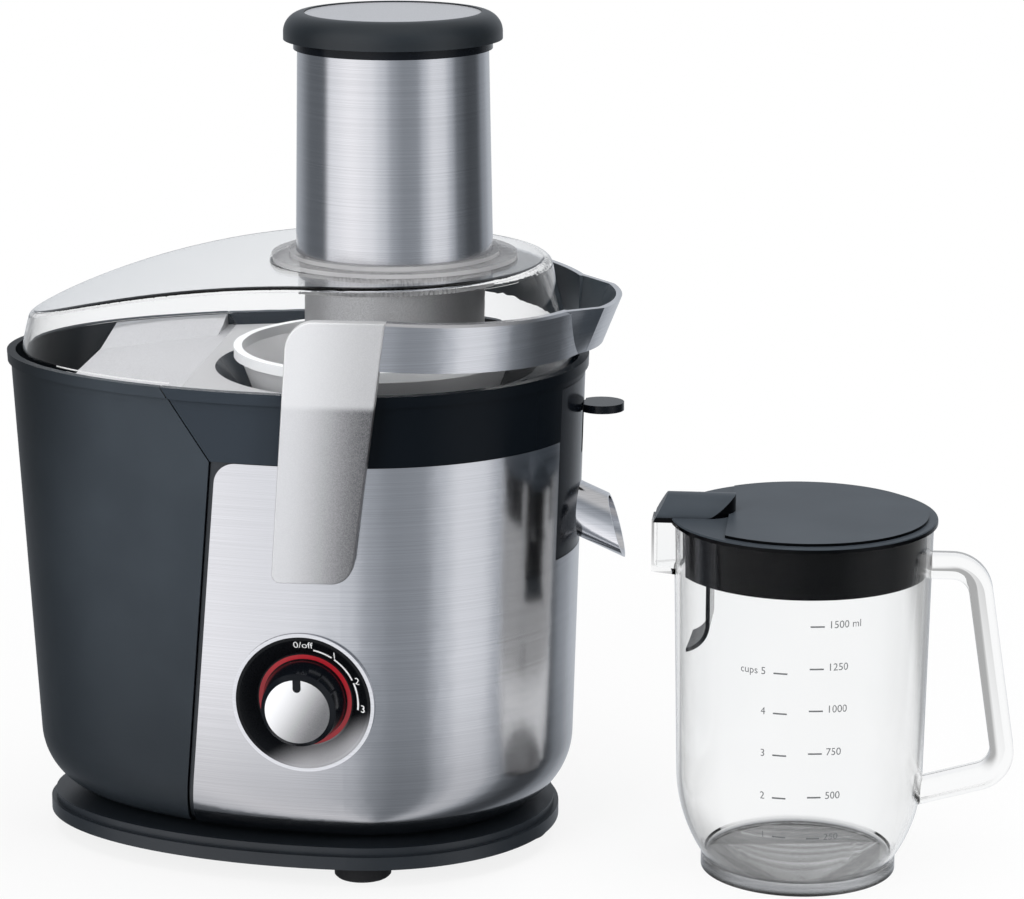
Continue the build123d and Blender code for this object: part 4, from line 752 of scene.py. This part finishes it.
def card_tones(tree, x, y):
    """Turn from the camera's side, and the tone of the card that stands there."""
    turn = x.math("ARCTAN2", x, 0.0 - y) - radians(VIEW_TURN + 1.0)
    share = turn.math("WRAP", turn / (2 * pi) + 0.5, 1.0)
    share.socket.node.inputs[2].default_value = 0.0
    ramp = tree.add("ShaderNodeValToRGB", inputs={"Fac": share}).socket.node
    ramp.color_ramp.interpolation = "EASE"
    stops = ramp.color_ramp.elements
    while len(stops) < len(CARDS):
        stops.new(0.5)
    for stop, (angle, tone) in zip(stops, CARDS):
        stop.position = angle / 360 + 0.5
        cool = 0.10 * (1 - tone / CARD_PEAK)
        level = tone / CARD_PEAK
        stop.color = (level * (1 - cool), level, level * (1.02 + cool), 1.0)
    return turn, Value(tree.tree, ramp.outputs[0])


def build_stage():
    """Floor that keeps only soft shadows: white to the camera, open to mirror rays."""
    begin()
    bpy.ops.mesh.primitive_plane_add(size=FLOOR_SIZE, location=(0, 0, 0))
    floor = bpy.context.object
    floor.name = "pale_floor"
    f = Finish("pale_floor")
    x, y, _ = f.axes()
    patch = f.grain(0.5, 2.0)
    reach = x * x + y * y
    off_middle = (x + y * PATCH_LEAN - PATCH_MIDDLE).size()
    behind = (PATCH_HALF_WIDTH + y * PATCH_GROWTH - off_middle).ramp(-PATCH_EDGE, PATCH_EDGE)
    shadow = f.add("ShaderNodeBsdfDiffuse", inputs={"Color": f.mix(patch, *map(grey, FLOOR_TONES))})
    glow = f.add("ShaderNodeEmission", inputs={"Color": grey(1.0), "Strength": 1.0})
    past = f.add("ShaderNodeBsdfTransparent", inputs={"Color": grey(1.0)})
    dim = f.add("ShaderNodeEmission", inputs={"Color": grey(SIDE_TONE), "Strength": 1.0})
    look = f.blend(f.ray("Is Glossy Ray"), shadow, past)
    look = f.blend(f.ray("Is Transmission Ray"), look, f.blend(behind, dim, glow))
    white = FLOOR_GLOW + reach.ramp(*GLOW_REACH) * (1 - FLOOR_GLOW)
    look = f.blend(f.ray("Is Camera Ray") * white, look, glow)
    f.add("ShaderNodeOutputMaterial", inputs={"Surface": look})
    floor.data.materials.append(f.material)


def build_world():
    """Room whose cards show in mirrors only; the camera sees white."""
    world = bpy.data.worlds.new("studio")
    bpy.context.scene.world = world
    world.use_nodes = True
    w = Tree(world.node_tree)
    x, y, z = w.split(w.add("ShaderNodeTexCoord", out="Generated"))
    turn, tones = card_tones(w, x, y)
    cards = w.mix(z.ramp(0.55, 0.9), tones, grey(SKY_TONE / CARD_PEAK))
    away = (turn.math("COSINE", turn, 0.0) + 1.0).ramp(0.04, 0.45)
    field = w.mix(away, grey(1.0), grey(SIDE_TONE))
    room = w.add("ShaderNodeBackground", inputs={"Color": grey(ROOM_TONE, 1.01)})
    mirror = w.add("ShaderNodeBackground", inputs={"Color": cards, "Strength": CARD_PEAK})
    bright = w.add("ShaderNodeBackground", inputs={"Color": field})
    white = w.add("ShaderNodeBackground", inputs={"Color": grey(1.0)})
    look = w.blend(w.ray("Is Glossy Ray"), room, mirror)
    look = w.blend(w.ray("Is Transmission Ray"), look, bright)
    look = w.blend(w.ray("Is Camera Ray"), look, white)
    w.add("ShaderNodeOutputWorld", inputs={"Surface": look})


def add_softbox(name, at, width, height, power):
    begin()
    bpy.ops.object.light_add(type="AREA", location=at)
    lamp = bpy.context.object
    lamp.name = name
    lamp.data.shape = "RECTANGLE"
    lamp.data.size = width
    lamp.data.size_y = height
    lamp.data.energy = power
    lamp.visible_glossy = False
    lamp.visible_transmission = False
    lamp.rotation_euler = (SOFTBOX_AIM - Vector(at)).to_track_quat("-Z", "Y").to_euler()


def build_light():
    for name, settings in SOFTBOXES.items():
        add_softbox(name, *settings)


def build_camera():
    bpy.ops.object.camera_add(location=VIEW_FROM)
    camera = bpy.context.object
    camera.name = "photo_view"
    camera.rotation_euler = (radians(VIEW_TILT), 0, radians(VIEW_TURN))
    camera.data.sensor_width = SENSOR
    camera.data.sensor_fit = "HORIZONTAL"
    camera.data.lens = FOCAL_PIXELS * SENSOR / FRAME_PIXELS
    bpy.context.scene.camera = camera


build_stage()
build_world()
build_light()
build_camera()
bpy.context.scene.view_settings.view_transform = "Standard"
